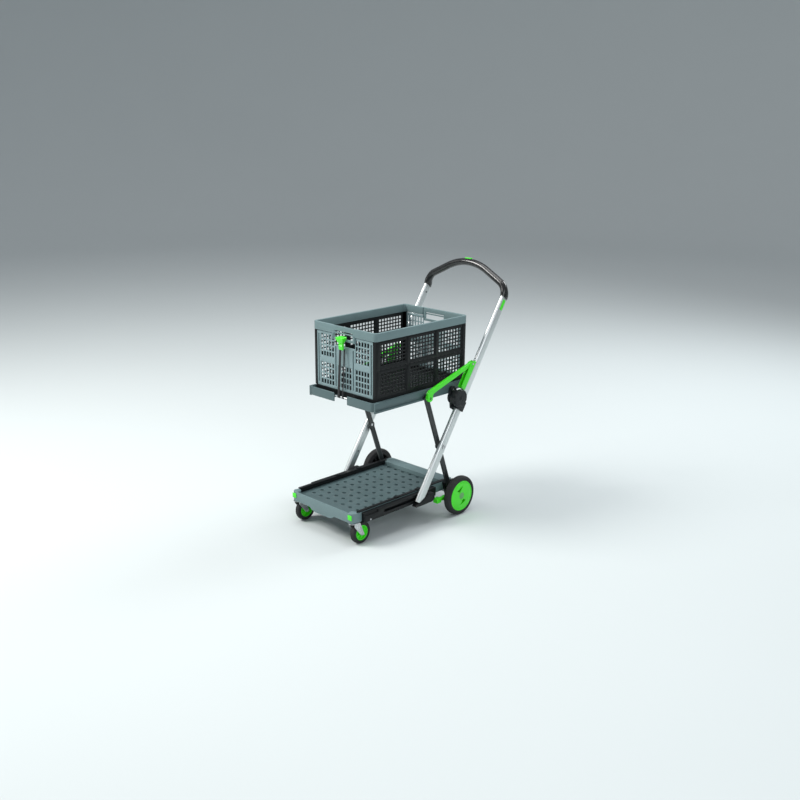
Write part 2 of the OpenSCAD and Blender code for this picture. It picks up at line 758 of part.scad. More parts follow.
// Bent grip bar with a raised pad that carries the release button
module grip() color([0.03, 0.03, 0.03])
    difference() {
        union() {
            grip_half();
            mirror([1, 0, 0]) grip_half();
            on_grip() translate([0, 0, grip_h - grip_crown_r]) rotate([90, 0, 0]) rotate([0, 0, grip_turn])
                rotate_extrude(angle = 2 * grip_slope) translate([grip_crown_r, 0]) circle(r = grip_r);
            on_grip() translate([-32, -14, grip_h - grip_r - 4]) cube([64, 28, grip_r + 4]);
        }
        for (side = [-1, 1])
            on_tube() translate([side * tube_mid, 0, grip_end_s - 9])
                linear_extrude(height = tube_above - grip_end_s + 9) flat_oval(tube_t, tube_w);
        on_grip() translate([-button_l / 2 - 0.3, -7.3, grip_h + 2])
            cube([button_l + 0.6, 14.6, grip_r]);
    }

module release_button() color([0.25, 0.85, 0.15])
    on_grip() translate([-button_l / 2, -7, grip_h + 2.3 + button_travel])
        cube([button_l, 14, grip_r - 4]);

// ---------- folding arms ----------

module arm() {
    half_t = arm_t / 2;
    half = arm_w / 2;
    eye = arm_eye_r - 0.6;
    x_bar(strut_out + 0.3, tube_mid, strut_top_y, pivot_z, arm_eye_r - 5);
    side_plate(tube_mid - half_t, tube_mid + half_t) difference() {
        union() {
            translate([strut_top_y, pivot_z]) circle(r = arm_eye_r);
            translate([arm_y, arm_z]) circle(r = half - 2);
            polygon([[strut_top_y + eye, pivot_z + 1], [strut_top_y + eye, pivot_z + 10],
                [strut_top_y + 22, pivot_z + 18], [arm_y - 12, arm_z - half - 2],
                [arm_y + 2, arm_z - half + 4], [arm_y + 2, arm_z + half - 4],
                [arm_y - 8, arm_z + half - 2], [strut_top_y - 6, pivot_z + 22 + half],
                [strut_top_y - eye, pivot_z + 22], [strut_top_y - eye, pivot_z + 1]]);
        }
        translate([arm_y, arm_z]) circle(r = pin_r - 1 + run_fit);
    }
}

module arm_right() color([0.25, 0.85, 0.15]) arm();
module arm_left() color([0.25, 0.85, 0.15]) left_side() arm();

// ---------- crate ----------

module crate_rim() color([0.33, 0.42, 0.43]) {
    translate([0, crate_mid_y, rim_z]) linear_extrude(height = rim_h)
        difference() {
            round_rect(crate_w, crate_l, 16);
            round_rect(crate_body_w - 2 * crate_wall, crate_body_l - 2 * crate_wall, 8);
            for (side = [-1, 1])
                translate([0, side * crate_l / 2]) square([lobe_w - 2, 4 * crate_wall], center = true);
        }
    // Grip openings in the two ends
    for (side = [-1, 1])
        difference() {
            translate([-lobe_w / 2, crate_mid_y + side * (crate_l / 2 - 3) - 3, lobe_z])
                cube([lobe_w, 6, crate_top - lobe_z]);
            translate([-grip_hole_w / 2, crate_mid_y + side * crate_l / 2 - 15, hole_z])
                cube([grip_hole_w, 30, grip_hole_h]);
        }
}

module crate_base() color([0.1, 0.11, 0.12]) {
    translate([0, crate_mid_y, tray_seat]) linear_extrude(height = base_h)
        difference() {
            round_rect(crate_body_w, crate_body_l, 10);
            round_rect(crate_body_w - 2 * crate_wall, crate_body_l - 2 * crate_wall, 5);
        }
    translate([0, crate_mid_y, tray_seat]) linear_extrude(height = 5)
        round_rect(crate_body_w - 1, crate_body_l - 1, 9.5);
}

// Long wall in two halves that meet at a hinge line
module crate_side() {
    x1 = crate_body_w / 2;
    half_h = (rim_z - panel_z - 2 * panel_gap) / 2;
    for (level = [0, 1])
        translate([x1 - crate_wall, crate_mid_y - crate_body_l / 2, panel_z + level * (half_h + panel_gap)])
            cube([crate_wall, crate_body_l, half_h]);
}

module crate_side_right() color([0.08, 0.09, 0.1]) crate_side();
module crate_side_left() color([0.08, 0.09, 0.1]) left_side() crate_side();

module crate_hinge_pins() color([0.5, 0.52, 0.54])
    for (end = [-1, 1], side = [-1, 1]) {
        x0 = side > 0 ? lobe_w / 2 + 10 : -crate_body_w / 2 + crate_wall;
        x_bar(x0, x0 + (crate_body_w / 2 - crate_wall) - lobe_w / 2 - 10,
            crate_mid_y + end * (crate_body_l / 2 - crate_wall / 2), hinge_z, hinge_pin_r);
    }

// End panel, notched round the grip opening and hung from pins under the rim
module crate_end(end) {
    y0 = crate_mid_y + end * (crate_body_l / 2 - crate_wall / 2) - crate_wall / 2;
    difference() {
        translate([-end_w / 2, y0, panel_z]) cube([end_w, crate_wall, rim_z - panel_z - 3]);
        translate([-lobe_w / 2 - 2, y0 - 1, lobe_z - 2]) cube([lobe_w + 4, crate_wall + 2, rim_h + 30]);
        x_bar(-crate_w, crate_w, y0 + crate_wall / 2, hinge_z, hinge_pin_r + run_fit);
    }
}

module crate_end_front() color([0.36, 0.46, 0.46]) crate_end(-1);
module crate_end_rear() color([0.36, 0.46, 0.46]) crate_end(1);

// ---------- latch ----------

// Hook on the front grip opening
module latch_hook() color([0.25, 0.9, 0.15]) {
    y1 = crate_front - 0.6;
    side_plate(-15, 15)
        polygon([[y1, hook_z - 22], [y1, hook_z + 18.5], [y1 + 7.5, hook_z + 18.5],
            [y1 + 7.5, hook_z + 24], [y1 - 14, hook_z + 24], [y1 - 14, hook_z + 10], [y1 - 7, hook_z - 22]]);
}

// Two elastic straps from the bar in the tray up to the hook
module straps() color([0.03, 0.03, 0.03]) {
    top_y = crate_front - 4;
    for (strap = [[-17, 11], [10, 5]]) {
        difference() {
            x_bar(strap[0], strap[0] + strap[1], bar_y, bar_z, bar_r + 2.4);
            x_bar(-30, 30, bar_y, bar_z, bar_r + run_fit);
        }
        side_plate(strap[0], strap[0] + strap[1])
            polygon([[bar_y - bar_r - 2.2, bar_z], [bar_y - bar_r - 0.4, bar_z + 2],
                [top_y, hook_z - 22.01], [top_y - 2.6, hook_z - 22.01]]);
    }
}

deck_frame();
deck_floor();
deck_rail_left();
deck_rail_right();
corner_inserts();
wheel_brackets();
rear_axle();
brake_pedal();
wheel_tyre_left();
wheel_disc_left();
wheel_cap_left();
wheel_tyre_right();
wheel_disc_right();
wheel_cap_right();
caster_stem_left();
caster_fork_left();
caster_axle_left();
caster_hub_left();
caster_tyre_left();
caster_stem_right();
caster_fork_right();
caster_axle_right();
caster_hub_right();
caster_tyre_right();
strut_left();
strut_right();
strut_shaft();
strut_pins();
lower_tube_left();
lower_tube_right();
shoe_left();
shoe_right();
hub_left();
hub_right();
hub_bolts();
tray_shaft();
tray();
tray_rails();
strap_bar();
handle_tube_left();
handle_tube_right();
knuckle_left();
knuckle_right();
arm_bracket_left();
arm_bracket_right();
arm_pins();
grip();
release_button();
arm_left();
arm_right();
crate_rim();
crate_base();
crate_side_left();
crate_side_right();
crate_hinge_pins();
crate_end_front();
crate_end_rear();
latch_hook();
straps();
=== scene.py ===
import json
import math

import bmesh
import bpy
from mathutils import Matrix, Vector

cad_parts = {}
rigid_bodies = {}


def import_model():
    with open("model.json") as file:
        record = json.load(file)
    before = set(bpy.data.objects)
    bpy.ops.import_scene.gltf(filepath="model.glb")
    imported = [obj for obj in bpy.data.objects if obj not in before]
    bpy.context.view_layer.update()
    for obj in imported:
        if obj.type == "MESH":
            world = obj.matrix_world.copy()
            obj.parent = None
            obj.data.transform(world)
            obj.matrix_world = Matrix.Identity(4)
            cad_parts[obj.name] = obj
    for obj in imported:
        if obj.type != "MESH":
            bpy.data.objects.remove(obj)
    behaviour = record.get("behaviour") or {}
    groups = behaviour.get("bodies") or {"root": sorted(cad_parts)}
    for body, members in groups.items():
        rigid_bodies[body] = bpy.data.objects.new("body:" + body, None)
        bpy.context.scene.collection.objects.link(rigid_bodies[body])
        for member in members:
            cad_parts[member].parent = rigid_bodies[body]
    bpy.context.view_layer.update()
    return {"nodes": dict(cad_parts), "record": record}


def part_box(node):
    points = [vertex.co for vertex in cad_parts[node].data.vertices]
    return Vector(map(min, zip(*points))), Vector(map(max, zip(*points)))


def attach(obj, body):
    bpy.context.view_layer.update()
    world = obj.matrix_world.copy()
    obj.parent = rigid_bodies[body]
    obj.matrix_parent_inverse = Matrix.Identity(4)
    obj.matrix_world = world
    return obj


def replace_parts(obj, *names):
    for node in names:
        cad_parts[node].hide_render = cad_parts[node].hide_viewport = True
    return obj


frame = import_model()
nodes = frame["nodes"]
bodyOf = {n: b for b, members in frame["record"]["behaviour"]["bodies"].items() for n in members}
joints = {j["name"]: j for j in frame["record"]["behaviour"]["joints"]}
print("frame loaded,", len(nodes), "nodes")

# ---- camera ----

camera = {"place": (2.7555, -2.8395, 1.6339), "turn": 44.08, "rise": 16.30, "roll": 0.5, "lens": 43.864}


def setCamera():
    turn, rise, roll = (math.radians(camera[k]) for k in ("turn", "rise", "roll"))
    back = Vector((math.sin(turn) * math.cos(rise), -math.cos(turn) * math.cos(rise), math.sin(rise)))
    right = Vector((math.cos(turn), math.sin(turn), 0))
    up = back.cross(right)
    side = right * math.cos(roll) + up * math.sin(roll)
    top = back.cross(side)
    data = bpy.data.cameras.new("camera")
    data.lens, data.sensor_width = camera["lens"], 36
    data.clip_start, data.clip_end = 0.05, 100
    eye = bpy.data.objects.new("camera", data)
    eye.matrix_world = Matrix.Translation(camera["place"]) @ Matrix((side, top, back)).transposed().to_4x4()
    bpy.context.scene.collection.objects.link(eye)
    bpy.context.scene.camera = eye


setCamera()

# ---- node helpers: sockets that do sums, and one way to add any other node ----


def plug(tree, value, socket):
    if isinstance(value, Sock):
        tree.links.new(value.out, socket)
    elif value is not None:
        socket.default_value = value


class Sock:
    def __init__(self, tree, out):
        self.tree, self.out = tree, out

    def sums(self, operation, a, b=None, clamp=False):
        made = self.tree.nodes.new("ShaderNodeMath")
        made.operation, made.use_clamp = operation, clamp
        plug(self.tree, a, made.inputs[0])
        plug(self.tree, b, made.inputs[1])
        return Sock(self.tree, made.outputs[0])

    def __add__(self, other):
        return self.sums("ADD", self, other)

    def __sub__(self, other):
        return self.sums("SUBTRACT", self, other)

    def __mul__(self, other):
        return self.sums("MULTIPLY", self, other)

    def __truediv__(self, other):
        return self.sums("DIVIDE", self, other)

    def clamped(self):
        return self.sums("ADD", self, 0.0, True)

    def wave(self):
        return self.sums("SINE", self)

    def cosine(self):
        return self.sums("COSINE", self)


class Tree:
    def __init__(self, tree):
        self.tree = tree

    def node(self, kind, settings=None, sockets=None, out=0):
        made = self.tree.nodes.new(kind)
        for key, value in (settings or {}).items():
            if key == "stops":
                ramp = made.color_ramp
                while len(ramp.elements) < len(value):
                    ramp.elements.new(0.5)
                for element, (place, colour) in zip(ramp.elements, value):
                    element.position, element.color = place, (*colour, 1)
            else:
                setattr(made, key, value)
        for key, value in (sockets or {}).items():
            plug(self.tree, value, made.inputs[key])
        return Sock(self.tree, made.outputs[out])

    def mixed(self, amount, a, b):
        made = self.tree.nodes.new("ShaderNodeMix")
        made.data_type = "RGBA"
        plug(self.tree, amount, made.inputs[0])
        plug(self.tree, a if isinstance(a, Sock) else (*a, 1), made.inputs[6])
        plug(self.tree, b if isinstance(b, Sock) else (*b, 1), made.inputs[7])
        return Sock(self.tree, made.outputs[2])


class Finish(Tree):
    def __init__(self, name, **fixed):
        self.material = bpy.data.materials.new(name)
        self.material.use_nodes = True
        super().__init__(self.material.node_tree)
        self.main = self.tree.nodes["Principled BSDF"]
        for key, value in fixed.items():
            self.main.inputs[{"metal": "Metallic", "coat": "Coat Weight", "coatRough": "Coat Roughness",
                              "shine": "Specular IOR Level", "ior": "IOR"}[key]].default_value = value
        self.place = self.node("ShaderNodeTexCoord", out="Object")
        self.edge = self.node("ShaderNodeAttribute", {"attribute_name": "edgeWear"}, out="Fac")

    def noise(self, scale, detail=2, rough=0.5, stretch=None):
        place = self.place
        if stretch:
            place = self.node("ShaderNodeMapping", None, {"Vector": place, "Scale": stretch})
        return self.node("ShaderNodeTexNoise", None,
                         {"Vector": place, "Scale": scale, "Detail": detail, "Roughness": rough})

    def finish(self, colour, roughness, height=None, strength=0.2, depth=0.0004):
        plug(self.tree, colour, self.main.inputs["Base Color"])
        plug(self.tree, roughness, self.main.inputs["Roughness"])
        if height is not None:
            plug(self.tree, self.node("ShaderNodeBump", None, {
                "Height": height, "Strength": strength, "Distance": depth}), self.main.inputs["Normal"])
        return self.material


# ---- finishes ----


def shade(colour, by):
    return tuple(min(1, c * by) for c in colour)


def mouldedPlastic(name, colour, rough=0.46, grain=1100, strength=0.25, wear=1.9, coat=0.0, shine=0.5):
    f = Finish(name, coat=coat, coatRough=0.25, shine=shine)
    broad, fine, dust = f.noise(9, 4, 0.6), f.noise(grain, 2), f.noise(60, 5, 0.65)
    scuff = (f.edge * (dust * 2.2 - 0.55)).clamped()
    body = f.mixed(broad, shade(colour, 0.86), shade(colour, 1.12))
    body = f.mixed((dust * 3.2 - 1.75).clamped() * 0.25, body, shade(colour, 1.35))
    body = f.mixed(scuff * 0.55, body, shade(colour, wear))
    return f.finish(body, broad * 0.14 + fine * 0.08 + (rough - 0.11) + scuff * 0.08, fine + dust * 0.4, strength)


def brightMetal(name, colour, rough, stretch, grain=900, wear=1.0, strength=0.12, metal=1.0):
    f = Finish(name, metal=metal)
    streak, broad, pits = f.noise(grain, 3, 0.6, stretch), f.noise(7, 3), f.noise(260, 2)
    body = f.mixed(streak, shade(colour, 0.88), shade(colour, 1.08))
    body = f.mixed((pits * 4 - 2.6).clamped() * 0.35, body, shade(colour, 0.55))
    body = f.mixed(f.edge * 0.4, body, shade(colour, wear))
    return f.finish(body, streak * 0.16 + broad * 0.12 + (rough - 0.14), streak, strength, 0.0002)


def galvanised(name, colour):
    f = Finish(name, metal=1.0)
    spangle = f.node("ShaderNodeTexVoronoi", {"feature": "F1"}, {"Vector": f.place, "Scale": 260}, out="Color")
    tone = f.node("ShaderNodeSeparateColor", None, {"Color": spangle})
    stain = f.noise(30, 4)
    body = f.mixed(tone, shade(colour, 0.72), shade(colour, 1.08))
    body = f.mixed((stain * 3 - 1.7).clamped() * 0.4, body, shade(colour, 0.5))
    return f.finish(body, tone * 0.22 + stain * 0.12 + 0.2, tone + stain, 0.12, 0.0002)


def paintedSteel(name, colour):
    f = Finish(name, coat=0.25, coatRough=0.3)
    peel, broad, chip = f.noise(500, 3), f.noise(12, 3), f.noise(120, 4, 0.7)
    chipped = (f.edge * (chip * 4 - 2.0)).clamped()
    body = f.mixed(broad, shade(colour, 0.8), shade(colour, 1.25))
    body = f.mixed(chipped, body, (0.38, 0.38, 0.37))
    plug(f.tree, chipped * 0.8, f.main.inputs["Metallic"])
    return f.finish(body, broad * 0.1 + 0.32 + chipped * 0.1, peel, 0.15, 0.0003)


def treadRubber(name, colour=(0.016, 0.016, 0.017)):
    f = Finish(name, shine=0.35)
    dust, fine, broad = f.noise(45, 5, 0.7), f.noise(1400, 2), f.noise(10, 3)
    body = f.mixed(broad, shade(colour, 0.8), shade(colour, 1.5))
    body = f.mixed(((dust * 3 - 1.5).clamped() * 0.5 + f.edge * 0.2).clamped(), body, (0.075, 0.072, 0.066))
    return f.finish(body, dust * 0.2 + 0.62, fine + dust * 0.5, 0.35, 0.0003)


def wovenElastic(name):
    f = Finish(name, shine=0.3)
    parts = f.node("ShaderNodeSeparateXYZ", None, {"Vector": f.place})
    across = Sock(f.tree, parts.out.node.outputs[0])
    along = Sock(f.tree, parts.out.node.outputs[2])
    weave = (across * 5200).wave() * (along * 3600).wave()
    fuzz = f.noise(700, 3)
    body = f.mixed((weave * 0.5 + 0.5) * 0.6 + fuzz * 0.4, (0.006, 0.006, 0.007), (0.05, 0.05, 0.052))
    return f.finish(body, fuzz * 0.15 + 0.72, weave * 0.6 + fuzz * 0.5, 0.6, 0.0005)


def studioPaper(name, colour):
    f = Finish(name, shine=0.15)
    tone = f.noise(0.9, 3)
    fine = f.noise(220, 2)
    return f.finish(f.mixed(tone, shade(colour, 0.985), shade(colour, 1.01)), fine * 0.06 + 0.78, fine, 0.02, 0.0002)


colours = {
    "tealGrey": (0.080, 0.128, 0.134), "paleTeal": (0.150, 0.225, 0.232), "panel": (0.215, 0.305, 0.318),
    "charcoal": (0.010, 0.013, 0.0145), "black": (0.0055, 0.0068, 0.0074), "lime": (0.060, 0.80, 0.010),
    "cap": (0.13, 0.40, 0.12), "grip": (0.0035, 0.0042, 0.0045), "tube": (0.74, 0.775, 0.77),
    "zinc": (0.62, 0.63, 0.64), "sheet": (0.66, 0.68, 0.69), "paint": (0.010, 0.0135, 0.0145),
}
tealPlastic = mouldedPlastic("teal grey moulding", colours["tealGrey"])
palePlastic = mouldedPlastic("pale teal moulding", colours["paleTeal"])
panelPlastic = mouldedPlastic("pale panel moulding", colours["panel"])
darkPlastic = mouldedPlastic("charcoal moulding", colours["charcoal"], 0.44, wear=3.2, shine=0.32)
blackPlastic = mouldedPlastic("black moulding", colours["black"], 0.42, wear=4.0, shine=0.25)
limePlastic = mouldedPlastic("lime moulding", colours["lime"], 0.34, 700, 0.12, 1.25, 0.25)
capPlastic = mouldedPlastic("grey cap moulding", colours["cap"], 0.36)
gripPlastic = mouldedPlastic("grip moulding", colours["grip"], 0.26, 1600, 0.12, 1.6, 0.3)
silverTube = brightMetal("satin anodised tube", colours["tube"], 0.42, (60, 0.9, 0.9), 300)
zincSteel = brightMetal("zinc plated steel", colours["zinc"], 0.3, (1, 1, 1), 500)
sheetZinc = galvanised("galvanised sheet", colours["sheet"])
darkPaint = paintedSteel("charcoal paint", colours["paint"])
tyreRubber = treadRubber("tyre rubber")
strapElastic = wovenElastic("woven elastic")
print("finishes made")

# ---- mesh helpers ----


def addPiece(name, bm, finish, body, smoothAngle=35):
    mesh = bpy.data.meshes.new(name)
    bm.to_mesh(mesh)
    bm.free()
    for polygon in mesh.polygons:
        polygon.use_smooth = True
    mesh.set_sharp_from_angle(angle=math.radians(smoothAngle))
    mesh.materials.clear()
    mesh.materials.append(finish)
    piece = bpy.data.objects.new(name, mesh)
    bpy.context.scene.collection.objects.link(piece)
    if body:
        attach(piece, body)
    return piece


def roundEdges(bm, width, angle=35, segments=2):
    wear = bm.verts.layers.float.get("edgeWear") or bm.verts.layers.float.new("edgeWear")
    sharp = [e for e in bm.edges if len(e.link_faces) == 2 and e.calc_face_angle(0) > math.radians(angle)]
    if not sharp:
        return
    made = bmesh.ops.bevel(bm, geom=sharp, offset=width, offset_type="OFFSET", segments=segments,
                           profile=0.6, affect="EDGES", clamp_overlap=False)
    rounded = set(made["faces"])
    for vert in {v for f in rounded for v in f.verts}:
        vert[wear] = 1.0 if all(f in rounded for f in vert.link_faces) else 0.0


# a CAD node's own shape, merged and with its edges rounded
def fineCopy(nodeName, finish, width=0.0009, angle=35, segments=2, cuts=()):
    bm = bmesh.new()
    bm.from_mesh(nodes[nodeName].data)
    bmesh.ops.remove_doubles(bm, verts=bm.verts, dist=2e-6)
    bmesh.ops.dissolve_limit(bm, angle_limit=math.radians(0.6), verts=bm.verts, edges=bm.edges)
    if cuts:
        blocks = [spare(makeBar((a[1], b[1]), (a[2], b[2]), (a[0], b[0])), "block") for a, b in cuts]
        bm = cutWindows(spare(bm, nodeName + "_whole"), blocks)
        bmesh.ops.dissolve_limit(bm, angle_limit=math.radians(0.6), verts=bm.verts, edges=bm.edges)
    roundEdges(bm, width, angle, segments)
    piece = addPiece(nodeName + "_made", bm, finish, bodyOf[nodeName])
    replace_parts(piece, nodeName)
    return piece


# flat plate cut into a grid, with some of its cells left open; u and v are its two directions
def gridPlate(us, vs, isOpen, near, far, put):
    bm = bmesh.new()
    cache = {}

    def corner(i, j, level):
        key = (i, j, level)
        if key not in cache:
            cache[key] = bm.verts.new(put(us[i], vs[j], (near, far)[level]))
        return cache[key]

    solid = {(i, j) for i in range(len(us) - 1) for j in range(len(vs) - 1) if not isOpen(i, j)}
    for i, j in solid:
        ring = [(i, j), (i + 1, j), (i + 1, j + 1), (i, j + 1)]
        for level in (0, 1):
            bm.faces.new([corner(a, b, level) for a, b in ring])
        for k, (di, dj) in enumerate(((0, -1), (1, 0), (0, 1), (-1, 0))):
            if (i + di, j + dj) not in solid:
                a, b = ring[k], ring[(k + 1) % 4]
                bm.faces.new([corner(*a, 0), corner(*b, 0), corner(*b, 1), corner(*a, 1)])
    bmesh.ops.recalc_face_normals(bm, faces=bm.faces)
    bmesh.ops.dissolve_limit(bm, angle_limit=0.01, verts=bm.verts, edges=bm.edges)
    return bm


# turns a closed outline of (radius, along) points round the x axis
def lathe(outline, centre, count=72, mirrorX=False):
    bm = bmesh.new()
    rings = []
    for k in range(count):
        a = 2 * math.pi * k / count
        rings.append([bm.verts.new((centre[0] + (-x if mirrorX else x), centre[1] + r * math.cos(a),
                                    centre[2] + r * math.sin(a))) for r, x in outline])
    for k in range(count):
        a, b = rings[k], rings[(k + 1) % count]
        for i in range(len(outline)):
            j = (i + 1) % len(outline)
            if outline[i][0] < 1e-7 and outline[j][0] < 1e-7:
                continue
            bm.faces.new([a[i], a[j], b[j], b[i]])
    bmesh.ops.remove_doubles(bm, verts=bm.verts, dist=1e-7)
    bmesh.ops.recalc_face_normals(bm, faces=bm.faces)
    return bm


# prism of an outline in (y, z), from x0 to x1
def prism(outline, x0, x1):
    bm = bmesh.new()
    loops = [[bm.verts.new((x, y, z)) for y, z in outline] for x in (x0, x1)]
    bm.faces.new(loops[0])
    bm.faces.new(loops[1])
    for i in range(len(outline)):
        j = (i + 1) % len(outline)
        bm.faces.new([loops[0][i], loops[0][j], loops[1][j], loops[1][i]])
    bmesh.ops.recalc_face_normals(bm, faces=bm.faces)
    return bm


# plain bar between two values each of y, z and x
def makeBar(ys, zs, xs):
    (y0, y1), (z0, z1) = ys, zs
    return prism([(y0, z0), (y1, z0), (y1, z1), (y0, z1)], *xs)


# adds a plain mesh to a bmesh, or to a new one, and lets the mesh go
def takeMesh(mesh, bm=None):
    if bm is None:
        bm = bmesh.new()
    bm.from_mesh(mesh)
    bpy.data.meshes.remove(mesh)
    return bm


def joinBm(target, extra):
    mesh = bpy.data.meshes.new("join")
    extra.to_mesh(mesh)
    extra.free()
    takeMesh(mesh, target)


# ---- geometry node trees: a grid of cells, a ring of ribs and screws on points ----


def newTree(name, inputs):
    group = bpy.data.node_groups.new(name, "GeometryNodeTree")
    group.interface.new_socket("Geometry", in_out="INPUT", socket_type="NodeSocketGeometry")
    ids = {}
    for label, kind, value in inputs:
        item = group.interface.new_socket(label, in_out="INPUT", socket_type=kind)
        if value is not None:
            item.default_value = value
        ids[label] = item.identifier
    group.interface.new_socket("Geometry", in_out="OUTPUT", socket_type="NodeSocketGeometry")
    t = Tree(group)
    t.source = group.nodes.new("NodeGroupInput")
    t.take = lambda label: Sock(group, t.source.outputs[label])
    t.ids, t.group = ids, group
    return t


def endTree(t, shape, merge=None):
    real = t.node("GeometryNodeRealizeInstances", None, {"Geometry": shape})
    if merge:
        real = t.node("GeometryNodeMergeByDistance", None, {"Geometry": real, "Distance": merge})
    dressed = t.node("GeometryNodeSetMaterial", None, {"Geometry": real, "Material": t.take("Material")})
    result = t.group.nodes.new("NodeGroupOutput")
    t.group.links.new(dressed.out, result.inputs[0])
    return t


# the object handed in under a label, in its own axes
def handedIn(t, label):
    return t.node("GeometryNodeObjectInfo", {"transform_space": "ORIGINAL"}, {"Object": t.take(label)},
                  out="Geometry")


def cellGridTree():
    t = newTree("cellGrid", [("Cell", "NodeSocketObject", None),
                             ("Columns", "NodeSocketInt", 4), ("Rows", "NodeSocketInt", 4),
                             ("Width", "NodeSocketFloat", 0.1), ("Height", "NodeSocketFloat", 0.1),
                             ("Material", "NodeSocketMaterial", None)])
    grid = t.node("GeometryNodeMeshGrid", None, {"Size X": t.take("Width"), "Size Y": t.take("Height"),
                                                 "Vertices X": t.take("Columns"), "Vertices Y": t.take("Rows")})
    placed = t.node("GeometryNodeInstanceOnPoints", None, {"Points": grid, "Instance": handedIn(t, "Cell")})
    return endTree(t, placed, 0.00001)


def ribRingTree():
    t = newTree("ribRing", [("Rib", "NodeSocketObject", None), ("Count", "NodeSocketInt", 12),
                            ("Radius", "NodeSocketFloat", 0.05), ("Material", "NodeSocketMaterial", None)])
    points = t.node("GeometryNodePoints", None, {"Count": t.take("Count")})
    angle = t.node("GeometryNodeInputIndex") * (2 * math.pi) / t.take("Count")
    spot = t.node("ShaderNodeCombineXYZ", None, {"X": 0.0, "Y": angle.cosine() * t.take("Radius"),
                                                 "Z": angle.wave() * t.take("Radius")})
    placed = t.node("GeometryNodeSetPosition", None, {"Geometry": points, "Position": spot})
    turned = t.node("ShaderNodeCombineXYZ", None, {"X": angle})
    return endTree(t, t.node("GeometryNodeInstanceOnPoints", None,
                             {"Points": placed, "Instance": handedIn(t, "Rib"), "Rotation": turned}))


def screwTree():
    t = newTree("screwsOnPoints", [("Screw", "NodeSocketObject", None), ("Material", "NodeSocketMaterial", None)])
    return endTree(t, t.node("GeometryNodeInstanceOnPoints", None,
                             {"Points": t.take("Geometry"), "Instance": handedIn(t, "Screw")}))


cellGrid, ribRing, screws = cellGridTree(), ribRingTree(), screwTree()


# runs a tree, on loose points if any are given, and returns its result as a plain mesh put in place
def growMesh(tree, values, place, spots=()):
    host = bpy.data.objects.new("grow", bpy.data.meshes.new("grow"))
    host.data.from_pydata(spots, [], [])
    bpy.context.scene.collection.objects.link(host)
    modifier = host.modifiers.new("grow", "NODES")
    modifier.node_group = tree.group
    for label, value in values.items():
        modifier[tree.ids[label]] = value
    bpy.context.view_layer.update()
    mesh = bpy.data.meshes.new_from_object(host.evaluated_get(bpy.context.evaluated_depsgraph_get()))
    host.modifiers.remove(modifier)
    bpy.data.objects.remove(host)
    mesh.transform(place)
    return mesh


def spare(bm, name):
    mesh = bpy.data.meshes.new(name)
    bm.to_mesh(mesh)
    bm.free()
    piece = bpy.data.objects.new(name, mesh)
    bpy.context.scene.collection.objects.link(piece)
    return piece


def dropSpare(piece):
    bpy.data.objects.remove(piece)


def cutWindows(piece, cutters):
    for cutter in cutters:
        modifier = piece.modifiers.new("cut", "BOOLEAN")
        modifier.operation, modifier.solver, modifier.object = "DIFFERENCE", "EXACT", cutter
    bpy.context.view_layer.update()
    bm = takeMesh(bpy.data.meshes.new_from_object(piece.evaluated_get(bpy.context.evaluated_depsgraph_get())))
    for cutter in cutters:
        dropSpare(cutter)
    dropSpare(piece)
    return bm


# ---- crate: perforated walls with a frame round each field of holes ----

crateParts = {
    "barShare": 0.34, "latticeDeep": 0.0030, "latticeIn": 0.0012, "lip": 0.0005, "fieldOver": 0.0002, "edge": 0.0007,
    "sideFields": 3, "sideAcross": 8, "sideDown": 6, "sideFieldLong": 0.1400, "sideFieldTall": 0.0885,
    "foldGap": 0.0003, "ribIn": 0.006, "ribEndIn": 0.004, "ribSunk": 0.001, "ribProud": 0.0016,
    "knuckles": 20, "knuckleR": 0.0021, "knuckleLong": 0.017, "knuckleSunk": 0.0006, "knuckleEndIn": 0.015,
    "endAcross": 5, "endDown": 4, "endFieldWide": 0.0800, "endFieldTall": 0.0940, "endFieldPitch": 0.1010,
    "endFieldGap": 0.0220, "endFoot": 0.0085, "notchHalf": 0.0640, "notchFoot": 0.7570,
    "slotWide": 0.0070, "slotEndIn": 0.004, "slotUnderNotch": 0.006,
    "postIn": 0.1610, "postOut": 0.1768, "postDeep": 0.0200, "postThin": 0.0066, "postProud": 0.0008, "small": 0.0006,
}


# one cell of the lattice, open at its outer border, with both rims of its hole bevelled
def holeCell(wide, tall, bar, deep):
    bm = bmesh.new()
    lip, corners = crateParts["lip"], ((-1, -1), (1, -1), (1, 1), (-1, 1))

    def loop(halfX, halfY, z):
        return [bm.verts.new((sx * halfX, sy * halfY, z)) for sx, sy in corners]

    outer = [loop(wide / 2, tall / 2, z) for z in (0, deep)]
    hx, hy = (wide - bar) / 2, (tall - bar) / 2
    inner = [loop(hx + grow, hy + grow, z) for grow, z in ((lip, 0), (0, lip), (0, deep - lip), (lip, deep))]
    for k in range(4):
        n = (k + 1) % 4
        bm.faces.new([outer[0][n], outer[0][k], inner[0][k], inner[0][n]])
        bm.faces.new([outer[1][k], outer[1][n], inner[3][n], inner[3][k]])
        for a, b in ((0, 1), (1, 2), (2, 3)):
            bm.faces.new([inner[a][n], inner[a][k], inner[b][k], inner[b][n]])
    return bm


# closes the open outer border that a field of joined cells is left with
def closeBorder(bm, deep):
    open_ = {}
    for e in [e for e in bm.edges if len(e.link_faces) == 1]:
        a, b = e.verts
        key = frozenset((round(v.co.x, 5), round(v.co.y, 5)) for v in (a, b))
        open_.setdefault(key, []).append(e)
    for pair in open_.values():
        if len(pair) == 2:
            (a, b), (c, d) = pair[0].verts, pair[1].verts
            if (a.co - c.co).length > deep * 1.5:
                c, d = d, c
            bm.faces.new([a, b, d, c])
    bmesh.ops.recalc_face_normals(bm, faces=bm.faces)


